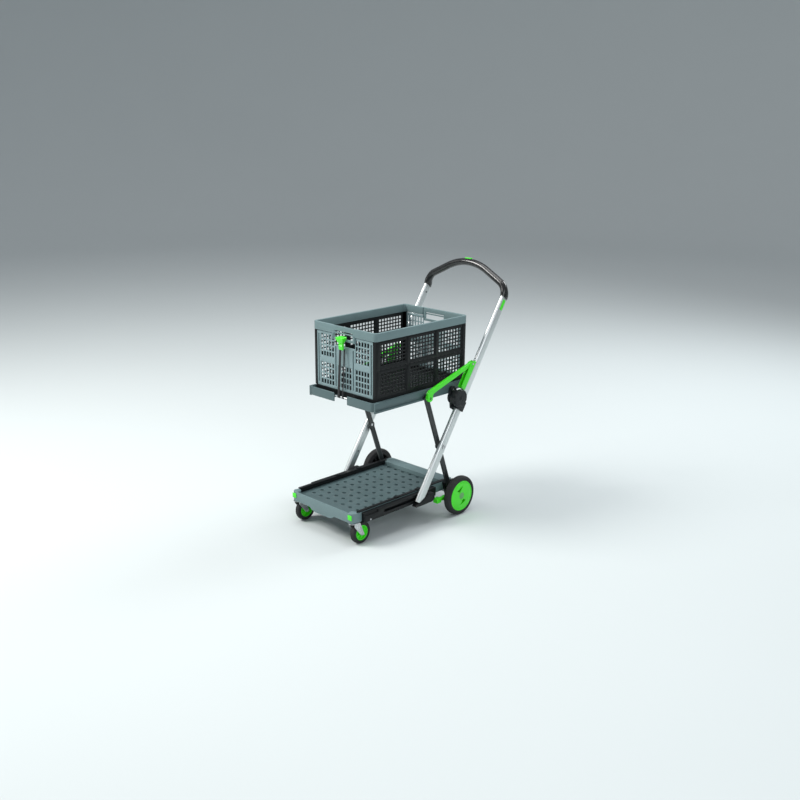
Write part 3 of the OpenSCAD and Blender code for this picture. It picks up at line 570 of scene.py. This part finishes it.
# a field of such cells, a hair wider than its opening so that it sits in the frame
def holeField(wide, tall, across, down, finish, place):
    wide, tall = wide + crateParts["fieldOver"], tall + crateParts["fieldOver"]
    cellW, cellT = wide / across, tall / down
    bar = crateParts["barShare"] * min(cellW, cellT)
    cell = spare(holeCell(cellW, cellT, bar, crateParts["latticeDeep"]), "cell")
    mesh = growMesh(cellGrid, {"Cell": cell, "Columns": across, "Rows": down, "Width": wide - cellW,
                               "Height": tall - cellT, "Material": finish}, Matrix.Identity(4))
    dropSpare(cell)
    bm = takeMesh(mesh)
    bmesh.ops.remove_doubles(bm, verts=bm.verts, dist=1e-5)
    closeBorder(bm, crateParts["latticeDeep"])
    bm.transform(place)
    return bm


# plate with rectangular openings; each hole is (u0, u1, v0, v1)
def openPlate(u0, u1, v0, v1, holes, near, far, put):
    def marks(low, high, picks):
        found = [low, high] + [h[k] for h in holes for k in picks]
        return sorted({round(m, 6) for m in found if low - 1e-6 <= m <= high + 1e-6})

    us, vs = marks(u0, u1, (0, 1)), marks(v0, v1, (2, 3))

    def isOpen(i, j):
        u, v = (us[i] + us[i + 1]) / 2, (vs[j] + vs[j + 1]) / 2
        return any(h[0] < u < h[1] and h[2] < v < h[3] for h in holes)

    return gridPlate(us, vs, isOpen, near, far, put)


def axes(x, y, z, origin):
    return Matrix.Translation(origin) @ Matrix((x, y, z)).transposed().to_4x4()


def makeSideWall(side):
    name = "crate_side_right" if side > 0 else "crate_side_left"
    low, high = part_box(name)
    c = crateParts
    mid, middleY = (low[2] + high[2]) / 2, (low[1] + high[1]) / 2
    outer, inner = (high[0], low[0]) if side > 0 else (low[0], high[0])
    fieldW, fieldT, count = c["sideFieldLong"], c["sideFieldTall"], c["sideFields"]
    rib = (high[1] - low[1] - count * fieldW) / (count + 1)
    turned = ((0, side, 0), (0, 0, 1), (side, 0, 0))
    total = bmesh.new()
    fields = []
    for z0, z1 in ((low[2], mid - c["foldGap"]), (mid + c["foldGap"], high[2])):
        holes = []
        for k in range(count):
            y0 = low[1] + rib + k * (fieldW + rib)
            v0 = (z0 + z1 - fieldT) / 2
            holes.append((y0, y0 + fieldW, v0, v0 + fieldT))
        plate = openPlate(low[1], high[1], z0, z1, holes, inner, outer, lambda u, v, w: (w, u, v))
        roundEdges(plate, c["edge"])
        joinBm(total, plate)
        for y0, y1, v0, v1 in holes:
            centre = Vector((outer - side * (c["latticeIn"] + c["latticeDeep"]), (y0 + y1) / 2, (v0 + v1) / 2))
            place = axes(*turned, centre)
            fields.append(holeField(fieldW, fieldT, c["sideAcross"], c["sideDown"], blackPlastic, place))
    for field in fields:
        joinBm(total, field)
    for k in range(count + 1):  # upright ribs that stand a little proud, between and beside the fields
        y0 = low[1] + k * (fieldW + rib)
        xs = sorted((outer - side * c["ribSunk"], outer + side * c["ribProud"]))
        for zs in ((low[2] + c["ribEndIn"], mid - c["ribIn"]), (mid + c["ribIn"], high[2] - c["ribEndIn"])):
            upright = makeBar((y0 + c["ribIn"], y0 + rib - c["ribIn"]), zs, xs)
            roundEdges(upright, c["small"])
            joinBm(total, upright)
    knuckle = bmesh.new()
    bmesh.ops.create_cone(knuckle, cap_ends=True, segments=10, radius1=c["knuckleR"], radius2=c["knuckleR"],
                          depth=c["knuckleLong"])
    knuckle.transform(Matrix.Rotation(math.pi / 2, 4, "Y"))
    one = spare(knuckle, "knuckle")
    row = growMesh(cellGrid, {"Cell": one, "Columns": c["knuckles"], "Rows": 1, "Height": 0.0,
                              "Width": high[1] - low[1] - 2 * c["knuckleEndIn"], "Material": blackPlastic},
                   axes(*turned, Vector((outer - side * c["knuckleSunk"], middleY, mid))))
    dropSpare(one)
    takeMesh(row, total)
    wall = addPiece(name + "_wall", total, blackPlastic, "crate")
    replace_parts(wall, name)


def makeEndPanel(end):
    name, body = ("crate_end_front", "end_front") if end < 0 else ("crate_end_rear", "end_rear")
    low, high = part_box(name)
    c = crateParts
    w, t, pitch = c["endFieldWide"], c["endFieldTall"], c["endFieldPitch"]
    outer, inner = (low[1], high[1]) if end < 0 else (high[1], low[1])
    v0 = low[2] + c["endFoot"]
    v1 = v0 + t + c["endFieldGap"]
    lowerLeft = ((-pitch, v0), (0, v0), (pitch, v0), (-pitch, v1), (pitch, v1))
    fields = [(x - w / 2, x + w / 2, z, z + t) for x, z in lowerLeft]
    notch = (-c["notchHalf"], c["notchHalf"], c["notchFoot"], high[2] + 0.01)
    slots = []
    for x in (-pitch * 1.5, -pitch / 2, pitch / 2, pitch * 1.5):
        u0, u1, top = x - c["slotWide"] / 2, x + c["slotWide"] / 2, v1 + t - c["slotEndIn"]
        if abs(u0) < c["notchHalf"]:
            top = min(top, c["notchFoot"] - c["slotUnderNotch"])
        slots.append((u0, u1, v0 + c["slotEndIn"], top))
    edge = c["postIn"] - c["small"]
    holes = fields + slots + [notch]
    panel = openPlate(-edge, edge, low[2], high[2], holes, inner, outer, lambda u, v, s: (u, s, v))
    roundEdges(panel, c["edge"])
    for x0, x1, z0, z1 in fields:
        centre = Vector(((x0 + x1) / 2, outer - end * (c["latticeIn"] + c["latticeDeep"]), (z0 + z1) / 2))
        place = axes((-end, 0, 0), (0, 0, 1), (0, end, 0), centre)
        joinBm(panel, holeField(w, t, c["endAcross"], c["endDown"], panelPlastic, place))
    wall = addPiece(name + "_panel", panel, panelPlastic, body)
    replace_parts(wall, name)


# upright posts at the crate's four corners
def makePosts():
    low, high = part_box("crate_side_right")
    c = crateParts
    xIn, xOut, wallIn = c["postIn"], c["postOut"], high[0] - 0.006
    # outline as (distance from the middle, depth behind the post's face)
    outline = ((xIn, 0), (xOut - 0.004, 0), (xOut - 0.0012, 0.0012), (xOut, 0.004), (xOut, c["postDeep"]),
               (wallIn, c["postDeep"]), (wallIn, c["postThin"]), (xIn, c["postThin"]))
    total = bmesh.new()
    for side in (-1, 1):
        for end, y in ((-1, low[1]), (1, high[1])):
            face = y + end * c["postProud"]
            post = prism([(side * x, face - end * back) for x, back in outline], low[2] - 0.0005, high[2])
            post.transform(Matrix(((0, 1, 0), (0, 0, 1), (1, 0, 0))).to_4x4())
            roundEdges(post, c["small"])
            joinBm(total, post)
    bmesh.ops.recalc_face_normals(total, faces=total.faces)
    addPiece("crate_posts", total, blackPlastic, "crate")


archParts = {"half": 0.0590, "top": 0.8085, "footUp": 0.0006, "turn": 0.010, "wide": 0.0050,
             "sunk": 0.002, "proud": 0.0022, "edge": 0.0010}


# raised bead round a grip opening
def makeArch(end):
    a = archParts
    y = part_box("crate_rim")[0][1] if end < 0 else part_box("crate_rim")[1][1]
    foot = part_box("crate_rim")[0][2] + a["footUp"]
    line = []
    for grow in (0.0, a["wide"]):
        arc = [(a["half"] + grow, foot)]
        for degrees in range(0, 91, 15):
            t, r = math.radians(degrees), a["turn"] + grow
            arc.append((a["half"] - a["turn"] + r * math.cos(t), a["top"] - a["turn"] + r * math.sin(t)))
        arc += [(-u, v) for u, v in reversed(arc)]
        line += reversed(arc) if grow else arc
    arch = prism(line, *sorted((y - end * a["sunk"], y + end * a["proud"])))
    arch.transform(Matrix(((0, 1, 0), (1, 0, 0), (0, 0, 1))).to_4x4())
    bmesh.ops.recalc_face_normals(arch, faces=arch.faces)
    roundEdges(arch, a["edge"])
    addPiece("crate_bead_" + ("front" if end < 0 else "rear"), arch, palePlastic, "crate")


for side in (-1, 1):
    makeSideWall(side)
    makeEndPanel(side)
    makeArch(side)
makePosts()
fineCopy("crate_rim", palePlastic, 0.0016)
fineCopy("crate_base", blackPlastic, 0.0012)
print("crate made")

# ---- deck and tray ----

deckParts = {
    "pitch": 0.044, "columns": 7, "rows": 11, "lastRowIn": 0.013,
    "collarIn": 0.0085, "collarOut": 0.0112, "collarUp": 0.0007, "collarDown": 0.0090, "round": 20,
    "cap": (0.1690, 0.1845), "capLip": (0.1690, 0.1712), "capFrontIn": 0.034, "capRearOut": 0.012, "capEdge": 0.0007,
    "lug": (0.1700, 0.1850), "lugUp": 0.0055, "lugStarts": (0.205, 0.330), "lugLong": 0.018,
    "strapCut": ((-0.0380, -0.3400, 0.5250), (0.0380, -0.3285, 0.5640)),
}
fineCopy("deck_frame", palePlastic, 0.0014)
fineCopy("deck_floor", tealPlastic, 0.0004)
for rail in ("deck_rail_left", "deck_rail_right"):
    fineCopy(rail, blackPlastic, 0.0010)
fineCopy("corner_inserts", limePlastic, 0.0009)
fineCopy("wheel_brackets", blackPlastic, 0.0010)
fineCopy("tray", tealPlastic, 0.0014, cuts=[deckParts["strapCut"]])
fineCopy("tray_rails", tealPlastic, 0.0005)


# raised collars round the floor's drain holes
def makeCollars():
    d = deckParts
    ring, count = bmesh.new(), d["round"]
    rIn, rOut, up, down = d["collarIn"], d["collarOut"], d["collarUp"], d["collarDown"]
    profile = ((rIn - 0.0002, -down), (rIn - 0.0002, -0.001), (rIn, up * 0.6), (rIn + 0.0008, up),
               (rOut - 0.0009, up), (rOut, -0.0002), (rOut - 0.0014, -down))
    loops = [[ring.verts.new((r * math.cos(2 * math.pi * k / count), r * math.sin(2 * math.pi * k / count), z))
              for r, z in profile] for k in range(count)]
    for k in range(count):
        a, b = loops[k], loops[(k + 1) % count]
        for i in range(len(profile)):
            j = (i + 1) % len(profile)
            ring.faces.new([a[i], b[i], b[j], a[j]])
    bmesh.ops.recalc_face_normals(ring, faces=ring.faces)
    one = spare(ring, "collar")
    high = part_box("deck_floor")[1]
    wide, long = (d["columns"] - 1) * d["pitch"], (d["rows"] - 1) * d["pitch"]
    centre = Vector((0, high[1] - d["lastRowIn"] - long / 2, high[2]))
    mesh = growMesh(cellGrid, {"Cell": one, "Columns": d["columns"], "Rows": d["rows"], "Width": wide, "Height": long,
                               "Material": tealPlastic}, Matrix.Translation(centre))
    dropSpare(one)
    addPiece("deck_floor_collars", takeMesh(mesh), tealPlastic, "deck")


# black caps along the tops of the deck's side walls, each with two small lugs
def makeRailCaps():
    d = deckParts
    low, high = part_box("deck_frame")
    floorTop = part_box("deck_floor")[1][2]
    y0, y1 = low[1] + d["capFrontIn"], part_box("deck_floor")[1][1] + d["capRearOut"]
    spans = [((y0, y1), (high[2] - 0.0010, high[2] + 0.0022), d["cap"]),
             ((y0, y1), (floorTop + 0.003, high[2] + 0.001), d["capLip"])]
    for start in d["lugStarts"]:
        spans.append(((y0 + start, y0 + start + d["lugLong"]), (high[2], high[2] + d["lugUp"]), d["lug"]))
    total = bmesh.new()
    for side in (-1, 1):
        for ys, zs, (x0, x1) in spans:
            cap = makeBar(ys, zs, sorted((side * x0, side * x1)))
            roundEdges(cap, d["capEdge"])
            joinBm(total, cap)
    addPiece("deck_rail_caps", total, blackPlastic, "deck")


makeCollars()
makeRailCaps()
print("deck and tray made")

# ---- wheels ----

wheelParts = {
    "spokes": 9, "spokeThick": 0.0030, "casterRibs": 7, "casterRibThick": 0.0022, "ribEdge": 0.0005,
    "windowIn": 0.0207, "windowOut": 0.045, "windowEdge": 0.0004,
    "window": [(0.0045, 0.0410), (0.0008, 0.0400), (-0.0250, 0.0272), (-0.0260, 0.0250), (-0.0245, 0.0236),
               (-0.0128, 0.0178), (-0.0104, 0.0180), (-0.0088, 0.0196), (0.0058, 0.0380), (0.0062, 0.0396)],
}


# flat ribs round the x axis between two radii; xs is the span they take along it
def radialRibs(count, low, high, thick, xs, centre, finish):
    half = (high - low) / 2
    rib = makeBar((-half, half), (-thick / 2, thick / 2), xs)
    roundEdges(rib, min(wheelParts["ribEdge"], thick * 0.2))
    one = spare(rib, "rib")
    mesh = growMesh(ribRing, {"Rib": one, "Count": count, "Radius": (low + high) / 2, "Material": finish},
                    Matrix.Translation(centre))
    dropSpare(one)
    return mesh


def makeRearWheel(side):
    word = "right" if side > 0 else "left"
    low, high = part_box("wheel_tyre_" + word)
    face = low[0] if side > 0 else high[0]
    centre = Vector((face, (low[1] + high[1]) / 2, (low[2] + high[2]) / 2))
    flip = side < 0
    tyreLine = [(0.0659, 0.0008), (0.0745, 0.0006), (0.0790, 0.0016), (0.0822, 0.0040), (0.0839, 0.0080),
                (0.0845, 0.0110), (0.0838, 0.0118), (0.0845, 0.0126), (0.0845, 0.0152), (0.0838, 0.0160),
                (0.0845, 0.0168), (0.0845, 0.0194), (0.0838, 0.0202), (0.0845, 0.0210), (0.0839, 0.0240),
                (0.0822, 0.0280), (0.0790, 0.0304), (0.0745, 0.0314), (0.0715, 0.0316), (0.0705, 0.0308),
                (0.0659, 0.0308)]
    tyre = addPiece("rear_tyre_" + word, lathe(tyreLine, centre, 96, flip), tyreRubber, "wheel_" + word, 50)
    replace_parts(tyre, "wheel_tyre_" + word)
    coreLine = [(0.0081, 0.0010), (0.0195, 0.0010), (0.0200, 0.0018), (0.0205, 0.0180), (0.0215, 0.0186),
                (0.0590, 0.0186), (0.0598, 0.0180), (0.0602, 0.0018), (0.0612, 0.0010), (0.0660, 0.0010),
                (0.0660, 0.0214), (0.0081, 0.0214)]
    core = lathe(coreLine, centre, 96, flip)
    discLine = [(0.0081, 0.0212), (0.0654, 0.0212), (0.0656, 0.0300), (0.0649, 0.0312), (0.0615, 0.0314),
                (0.0606, 0.0306), (0.0598, 0.0296), (0.0586, 0.0296), (0.0578, 0.0304), (0.0560, 0.0309),
                (0.0300, 0.0316), (0.0175, 0.0318), (0.0166, 0.0310), (0.0081, 0.0308)]
    disc = spare(lathe(discLine, centre, 96, flip), "disc")
    cutters = []
    for turn in (0, math.pi):
        spun = [(centre[1] + u * math.cos(turn), centre[2] + v * math.cos(turn)) for u, v in wheelParts["window"]]
        ends = sorted((centre[0] + side * wheelParts["windowIn"], centre[0] + side * wheelParts["windowOut"]))
        cutters.append(spare(prism(spun, *ends), "window"))
    bm = cutWindows(disc, cutters)
    bm.normal_update()
    roundEdges(bm, wheelParts["windowEdge"], 60, 1)
    takeMesh(radialRibs(wheelParts["spokes"], 0.0195, 0.0606, wheelParts["spokeThick"],
                        sorted((side * 0.0045, side * 0.0188)), centre, blackPlastic), core)
    corePiece = addPiece("rear_core_" + word, core, blackPlastic, "wheel_" + word)
    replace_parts(corePiece, "wheel_disc_" + word)
    discPiece = addPiece("rear_disc_" + word, bm, limePlastic, "wheel_" + word)
    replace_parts(discPiece, "wheel_disc_" + word)
    capLine = [(0.0, 0.0306), (0.0140, 0.0306), (0.0140, 0.0316), (0.0132, 0.0325), (0.0100, 0.0329), (0.0094, 0.0324),
               (0.0088, 0.0326), (0.0040, 0.0330), (0.0, 0.0330)]
    cap = addPiece("rear_cap_" + word, lathe(capLine, centre, 48, flip), capPlastic, "wheel_" + word)
    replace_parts(cap, "wheel_cap_" + word)


def makeCasterWheel(side):
    word = "right" if side > 0 else "left"
    low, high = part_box("caster_tyre_" + word)
    centre = Vector(((low[0] + high[0]) / 2, (low[1] + high[1]) / 2, (low[2] + high[2]) / 2))
    body = "caster_wheel_" + word
    tyreLine = [(0.0312, -0.0110), (0.0400, -0.0118), (0.0435, -0.0108), (0.0454, -0.0082), (0.0460, -0.0045),
                (0.0460, 0.0045), (0.0454, 0.0082), (0.0435, 0.0108), (0.0400, 0.0118), (0.0312, 0.0110)]
    tyre = addPiece("caster_tread_" + word, lathe(tyreLine, centre, 80), tyreRubber, body, 50)
    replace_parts(tyre, "caster_tyre_" + word)
    hubLine = [(0.0041, -0.0114), (0.0095, -0.0114), (0.0102, -0.0106), (0.0106, -0.0040), (0.0270, -0.0036),
               (0.0280, -0.0096), (0.0290, -0.0106), (0.0313, -0.0106), (0.0313, 0.0106), (0.0290, 0.0106),
               (0.0280, 0.0096), (0.0270, 0.0036), (0.0106, 0.0040), (0.0102, 0.0106), (0.0095, 0.0114),
               (0.0041, 0.0114)]
    bm = lathe(hubLine, centre, 64)
    takeMesh(radialRibs(wheelParts["casterRibs"], 0.0102, 0.0284, wheelParts["casterRibThick"], (-0.0088, 0.0088),
                        centre, limePlastic), bm)
    hub = addPiece("caster_web_" + word, bm, limePlastic, body)
    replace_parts(hub, "caster_hub_" + word)


for side in (-1, 1):
    makeRearWheel(side)
    makeCasterWheel(side)
for word in ("left", "right"):
    fineCopy("caster_fork_" + word, sheetZinc, 0.0007)
    fineCopy("caster_stem_" + word, zincSteel, 0.0008)
    fineCopy("caster_axle_" + word, zincSteel, 0.0008)
fineCopy("rear_axle", zincSteel, 0.0008)
fineCopy("brake_pedal", limePlastic, 0.0012)
print("wheels made")

# ---- scissor frame, hubs and handle ----

for word in ("left", "right"):
    fineCopy("strut_" + word, darkPaint, 0.0012)
    fineCopy("lower_tube_" + word, silverTube, 0.0003)
    fineCopy("handle_tube_" + word, silverTube, 0.0003)
    fineCopy("shoe_" + word, blackPlastic, 0.0014)
    fineCopy("hub_" + word, darkPlastic, 0.0013)
    fineCopy("knuckle_" + word, darkPlastic, 0.0010)
    fineCopy("arm_bracket_" + word, limePlastic, 0.0009)
    fineCopy("arm_" + word, limePlastic, 0.0022, segments=3)
fineCopy("strut_pins", zincSteel, 0.0004)
for name in ("strut_shaft", "hub_bolts", "tray_shaft", "strap_bar", "arm_pins"):
    fineCopy(name, zincSteel, 0.0007)

gripParts = {
    "slope": 57.0, "lean": 9.0, "x": 0.2195, "from": 0.686, "end": 0.694, "rise": 0.004, "bend": 0.060, "turn": 63,
    "crownR": 0.242, "crownH": 0.123006, "r": 0.0160, "round": 32, "blend": 0.055,
    "tubeDeep": 0.0138, "tubeWide": 0.0225, "padUp": 0.0022, "padHalf": 0.040, "endIn": 0.0012,
    "buttonGap": 0.0003, "pocketUp": 0.004, "pocketWide": 0.0146, "pocketTall": 0.032,
}


# one smooth moulding swept from tube end to tube end, oval over the tubes and round along the bar
def makeGrip():
    g = gripParts
    slope, lean = math.radians(g["slope"]), math.radians(g["lean"])
    tube, up = Vector((0, math.cos(slope), math.sin(slope))), Vector((0, math.sin(lean), math.cos(lean)))
    foot = Vector(joints["tube_cross"]["pos_m"])
    foot.x = g["x"]
    seat = foot + tube * g["end"]
    spots = [foot + tube * g["from"], foot + tube * (g["from"] + 0.009)]

    def atPlane(x, h):
        return Vector((x, seat.y, seat.z)) + up * h

    for a in range(12, g["turn"] + 1, 6):
        t = math.radians(a)
        spots.append(atPlane(g["x"] - g["bend"] * (1 - math.cos(t)), g["rise"] + g["bend"] * math.sin(t)))
    turn = math.radians(g["turn"])
    for k in range(10):
        t = turn + (math.pi / 2 - turn) * k / 9
        spots.append(atPlane(g["crownR"] * math.cos(t), g["crownH"] - g["crownR"] * (1 - math.sin(t))))
    smooth = []
    for k in range(len(spots) - 1):
        a, b, c, d = spots[max(k - 1, 0)], spots[k], spots[k + 1], spots[min(k + 2, len(spots) - 1)]
        for step in range(3):
            t = step / 3
            smooth.append(0.5 * ((2 * b) + (c - a) * t + (2 * a - 5 * b + 4 * c - d) * t * t
                                 + (3 * b - a - 3 * c + d) * t ** 3))
    smooth.append(spots[-1])
    path = smooth + [Vector((-p.x, p.y, p.z)) for p in reversed(smooth[:-1])]
    depthTube, depthUp = Vector((0, tube.z, -tube.y)), Vector((0, up.z, -up.y))
    bm, rings, count = bmesh.new(), [], g["round"]
    for k, p in enumerate(path):
        ahead = (path[min(k + 1, len(path) - 1)] - path[max(k - 1, 0)]).normalized()
        far = min((p - path[0]).length, (p - path[-1]).length)
        mix = min(1.0, far / g["blend"])
        mix = mix * mix * (3 - 2 * mix)
        depth = depthTube.lerp(depthUp, mix)
        wide = depth.cross(ahead).normalized()
        depth = ahead.cross(wide).normalized()
        pad = g["padUp"] * math.exp(-(abs(p.x) / g["padHalf"]) ** 4)
        a = g["tubeDeep"] + (g["r"] - g["tubeDeep"]) * mix
        b = g["tubeWide"] + (g["r"] - g["tubeWide"]) * mix + pad
        if far < 0.0001:
            a, b = a - g["endIn"], b - g["endIn"]
        ring = []
        for i in range(count):
            t = 2 * math.pi * i / count
            ring.append(bm.verts.new(p + wide * a * math.cos(t) + depth * b * math.sin(t)))
        rings.append(ring)
    for a, b in zip(rings, rings[1:]):
        for i in range(count):
            j = (i + 1) % count
            bm.faces.new([a[i], a[j], b[j], b[i]])
    bm.faces.new(rings[0])
    bm.faces.new(rings[-1])
    bmesh.ops.recalc_face_normals(bm, faces=bm.faces)
    low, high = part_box("release_button")
    middle = (Vector(low) + Vector(high)) / 2
    pocket = bmesh.new()
    bmesh.ops.create_cube(pocket, size=1)
    span = (high[0] - low[0] + 2 * g["buttonGap"], g["pocketWide"], g["pocketTall"], 1)
    pocket.transform(Matrix.Translation(middle + up * g["pocketUp"]) @ Matrix.Rotation(-lean, 4, "X")
                     @ Matrix.Diagonal(span))
    bm = cutWindows(spare(bm, "bar"), [spare(pocket, "pocket")])
    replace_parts(addPiece("grip_made", bm, gripPlastic, "handle", 50), "grip")


makeGrip()
fineCopy("release_button", limePlastic, 0.0016, segments=3)


# convex body round a set of points
def hull(points):
    bm = bmesh.new()
    for x, y, z in points:
        bm.verts.new((x, y, z))
    made = bmesh.ops.convex_hull(bm, input=bm.verts)
    bmesh.ops.delete(bm, geom=[v for v in made["geom_interior"] if isinstance(v, bmesh.types.BMVert)], context="VERTS")
    bmesh.ops.recalc_face_normals(bm, faces=bm.faces)
    bmesh.ops.dissolve_limit(bm, angle_limit=0.02, verts=bm.verts, edges=bm.edges)
    return bm


# the hook's three lumps: roundness, then corners on one side of the middle
hookParts = {
    "head": (0.0022, ((0.0215, -0.3400, 0.7985), (0.0205, -0.3390, 0.7900), (0.0150, -0.3105, 0.8000),
                      (0.0140, -0.3105, 0.7900), (0.0120, -0.3330, 0.7740), (0.0120, -0.3240, 0.7740))),
    "stem": (0.0016, ((0.0110, -0.3320, 0.7860), (0.0110, -0.3230, 0.7860), (0.0125, -0.3310, 0.7520),
                      (0.0125, -0.3240, 0.7520), (0.0105, -0.3305, 0.7480), (0.0105, -0.3245, 0.7480))),
    "lip": (0.0008, ((0.0100, -0.3350, 0.7640), (0.0100, -0.3300, 0.7700), (0.0100, -0.3300, 0.7600))),
}


# release hook: a wide winged head over the rim and a narrow stem down to the straps
def makeHook():
    total = bmesh.new()
    for width, corners in hookParts.values():
        part = hull([(s * x, y, z) for s in (-1, 1) for x, y, z in corners])
        roundEdges(part, width, 30, 3)
        joinBm(total, part)
    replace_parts(addPiece("latch_hook_made", total, limePlastic, "latch"), "latch_hook")


makeHook()
fineCopy("straps", strapElastic, 0.0004)
fineCopy("crate_hinge_pins", zincSteel, 0.0004)

frameParts = {"eyeR": 0.015, "slope": 57.0, "labelFrom": 0.632, "labelTo": 0.678, "labelHalf": 0.0085,
              "upperStud": 0.655, "lowerStud": -0.130}
along = Vector((0, math.cos(math.radians(frameParts["slope"])), math.sin(math.radians(frameParts["slope"]))))
across = Vector((0, along[2], -along[1]))
cross = Vector(joints["tube_cross"]["pos_m"])
hubAt = Vector(joints["handle_fold"]["pos_m"])
pivotAt = Vector((0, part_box("arm_right")[0][1] + frameParts["eyeR"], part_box("arm_right")[0][2] + frameParts["eyeR"]))


# y and z of a spot on the tubes: s along them from the crossing, v across them
def onTube(s, v):
    p = cross + along * s + across * v
    return p[1], p[2]


# plain lime label on the right tube, with no lettering
def makeLabel():
    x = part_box("handle_tube_right")[1][0]
    s0, s1, half = (frameParts[k] for k in ("labelFrom", "labelTo", "labelHalf"))
    corners = [onTube(s, v) for s, v in ((s0, -half), (s1, -half), (s1, half), (s0, half))]
    bm = prism(corners, x - 0.0001, x + 0.00035)
    roundEdges(bm, 0.0001, 35, 1)
    addPiece("tube_label", bm, limePlastic, "handle")


# round screw head with a hex socket
def screwHead(side, radius, up):
    headLine = [(0.0, 0.0), (radius, 0.0), (radius, up * 0.55), (radius * 0.85, up * 0.92), (radius * 0.55, up),
                (0.0, up)]
    socketLine = [(0.0, up * 0.35), (radius * 0.46, up * 0.35), (radius * 0.46, up * 1.5), (0.0, up * 1.5)]
    socket = spare(lathe(socketLine, (0, 0, 0), 6, side < 0), "socket")
    head = spare(lathe(headLine, (0, 0, 0), 28, side < 0), "head")
    return spare(cutWindows(head, [socket]), "screw")


# such heads set on a list of points
def makeScrews(name, side, spots, body, finish, radius, up):
    one = screwHead(side, radius, up)
    mesh = growMesh(screws, {"Screw": one, "Material": finish}, Matrix.Identity(4), spots)
    dropSpare(one)
    addPiece(name, takeMesh(mesh), finish, body)


# hub cover and every screw and stud of one side
def makeHubFace(side):
    word = "right" if side > 0 else "left"
    low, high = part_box("hub_" + word)
    face = high[0] if side > 0 else low[0]
    line = [(0.0, -0.001), (0.0350, -0.001), (0.0350, 0.0), (0.0340, 0.0010), (0.0310, 0.0012), (0.0302, 0.0004),
            (0.0292, 0.0004), (0.0284, 0.0012), (0.0150, 0.0014), (0.0140, 0.0006), (0.0, 0.0006)]
    cover = lathe(line, (face, hubAt[1], hubAt[2]), 64, side < 0)
    addPiece("hub_face_" + word, cover, darkPlastic, "lower_frame")
    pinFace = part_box("strut_pins")[1][0] * side
    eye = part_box("arm_" + word)
    eyeFace = eye[1][0] if side > 0 else eye[0][0]
    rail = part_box("deck_rail_" + word)
    edge = rail[1][0] if side > 0 else rail[0][0]
    railSpots = [(edge - side * 0.0003, y, rail[0][2] + 0.006) for y in (rail[0][1] + 0.03, rail[1][1] - 0.02)]
    upper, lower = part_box("handle_tube_" + word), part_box("lower_tube_" + word)
    upperIn, lowerIn = (upper[0][0], lower[0][0]) if side > 0 else (upper[1][0], lower[1][0])
    upperSpot = (upperIn + side * 0.0006, *onTube(frameParts["upperStud"], 0.0))
    lowerSpot = (lowerIn + side * 0.0006, *onTube(frameParts["lowerStud"], 0.0))
    makeScrews("hub_screw_" + word, side, [(face + side * 0.0005, hubAt[1], hubAt[2])], "lower_frame",
               darkPlastic, 0.0085, 0.0016)
    makeScrews("cross_screw_" + word, side, [(pinFace - side * 0.0006, cross[1], cross[2])], "struts",
               zincSteel, 0.0062, 0.0018)
    makeScrews("arm_stud_" + word, side, [(eyeFace - side * 0.0008, pivotAt[1], pivotAt[2])], "arms",
               darkPaint, 0.0052, 0.0014)
    makeScrews("rail_screws_" + word, side, railSpots, "deck", zincSteel, 0.0038, 0.0014)
    makeScrews("tube_stud_inner_" + word, -side, [upperSpot], "handle", blackPlastic, 0.0045, 0.0012)
    makeScrews("tube_stud_lower_" + word, -side, [lowerSpot], "lower_frame", blackPlastic, 0.0045, 0.0012)


makeLabel()
for side in (-1, 1):
    makeHubFace(side)
print("frame and handle made")

# ---- studio ----

studio = {
    "floor": (0.60, 0.645, 0.645), "reach": 9.0, "curve": 5.0, "world": (0.86, 0.90, 0.96), "worldPower": 0.42,
    # name, place, aim, size, power, colour
    "lights": (("key", (-2.4, -3.0, 3.9), (0, 0, 0.5), 2.2, 235, (1, 0.985, 0.96)),
               ("fill", (4.2, -1.6, 2.4), (0, 0, 0.5), 2.8, 52, (0.94, 0.97, 1)),
               ("rim", (0.6, 3.6, 3.2), (0, 0, 0.6), 2.0, 90, (0.95, 0.98, 1)),
               ("top", (0, 0, 5.2), (0, 0, 0), 3.2, 100, (1, 1, 1))),
}


# flat floor that curves up into a backdrop all round
def makeFloor():
    bm, count = bmesh.new(), 96
    line = [(0.4, 0), (2, 0), (5, 0), (studio["reach"], 0)]
    for k in range(1, 13):
        a = math.pi / 2 * k / 12
        line.append((studio["reach"] + studio["curve"] * math.sin(a), studio["curve"] * (1 - math.cos(a))))
    middle = bm.verts.new((0, 0, 0))
    rings = [[bm.verts.new((r * math.cos(2 * math.pi * k / count), r * math.sin(2 * math.pi * k / count), z))
              for r, z in line] for k in range(count)]
    for k in range(count):
        a, b = rings[k], rings[(k + 1) % count]
        bm.faces.new([middle, a[0], b[0]])
        for i in range(len(line) - 1):
            bm.faces.new([a[i], a[i + 1], b[i + 1], b[i]])
    floor = addPiece("studio_floor", bm, studioPaper("studio paper", studio["floor"]), None, 80)


def addLight(name, place, aim, size, power, colour):
    data = bpy.data.lights.new(name, "AREA")
    data.shape, data.size, data.energy, data.color = "DISK", size, power, colour
    lamp = bpy.data.objects.new(name, data)
    lamp.location = place
    lamp.rotation_euler = (Vector(aim) - Vector(place)).to_track_quat("-Z", "Y").to_euler()
    bpy.context.scene.collection.objects.link(lamp)


makeFloor()
for light in studio["lights"]:
    addLight(*light)
world = bpy.data.worlds.new("studio")
world.use_nodes = True
world.node_tree.nodes["Background"].inputs["Color"].default_value = (*studio["world"], 1)
world.node_tree.nodes["Background"].inputs["Strength"].default_value = studio["worldPower"]
bpy.context.scene.world = world
bpy.context.scene.view_settings.view_transform = "Standard"

print("scene ready")
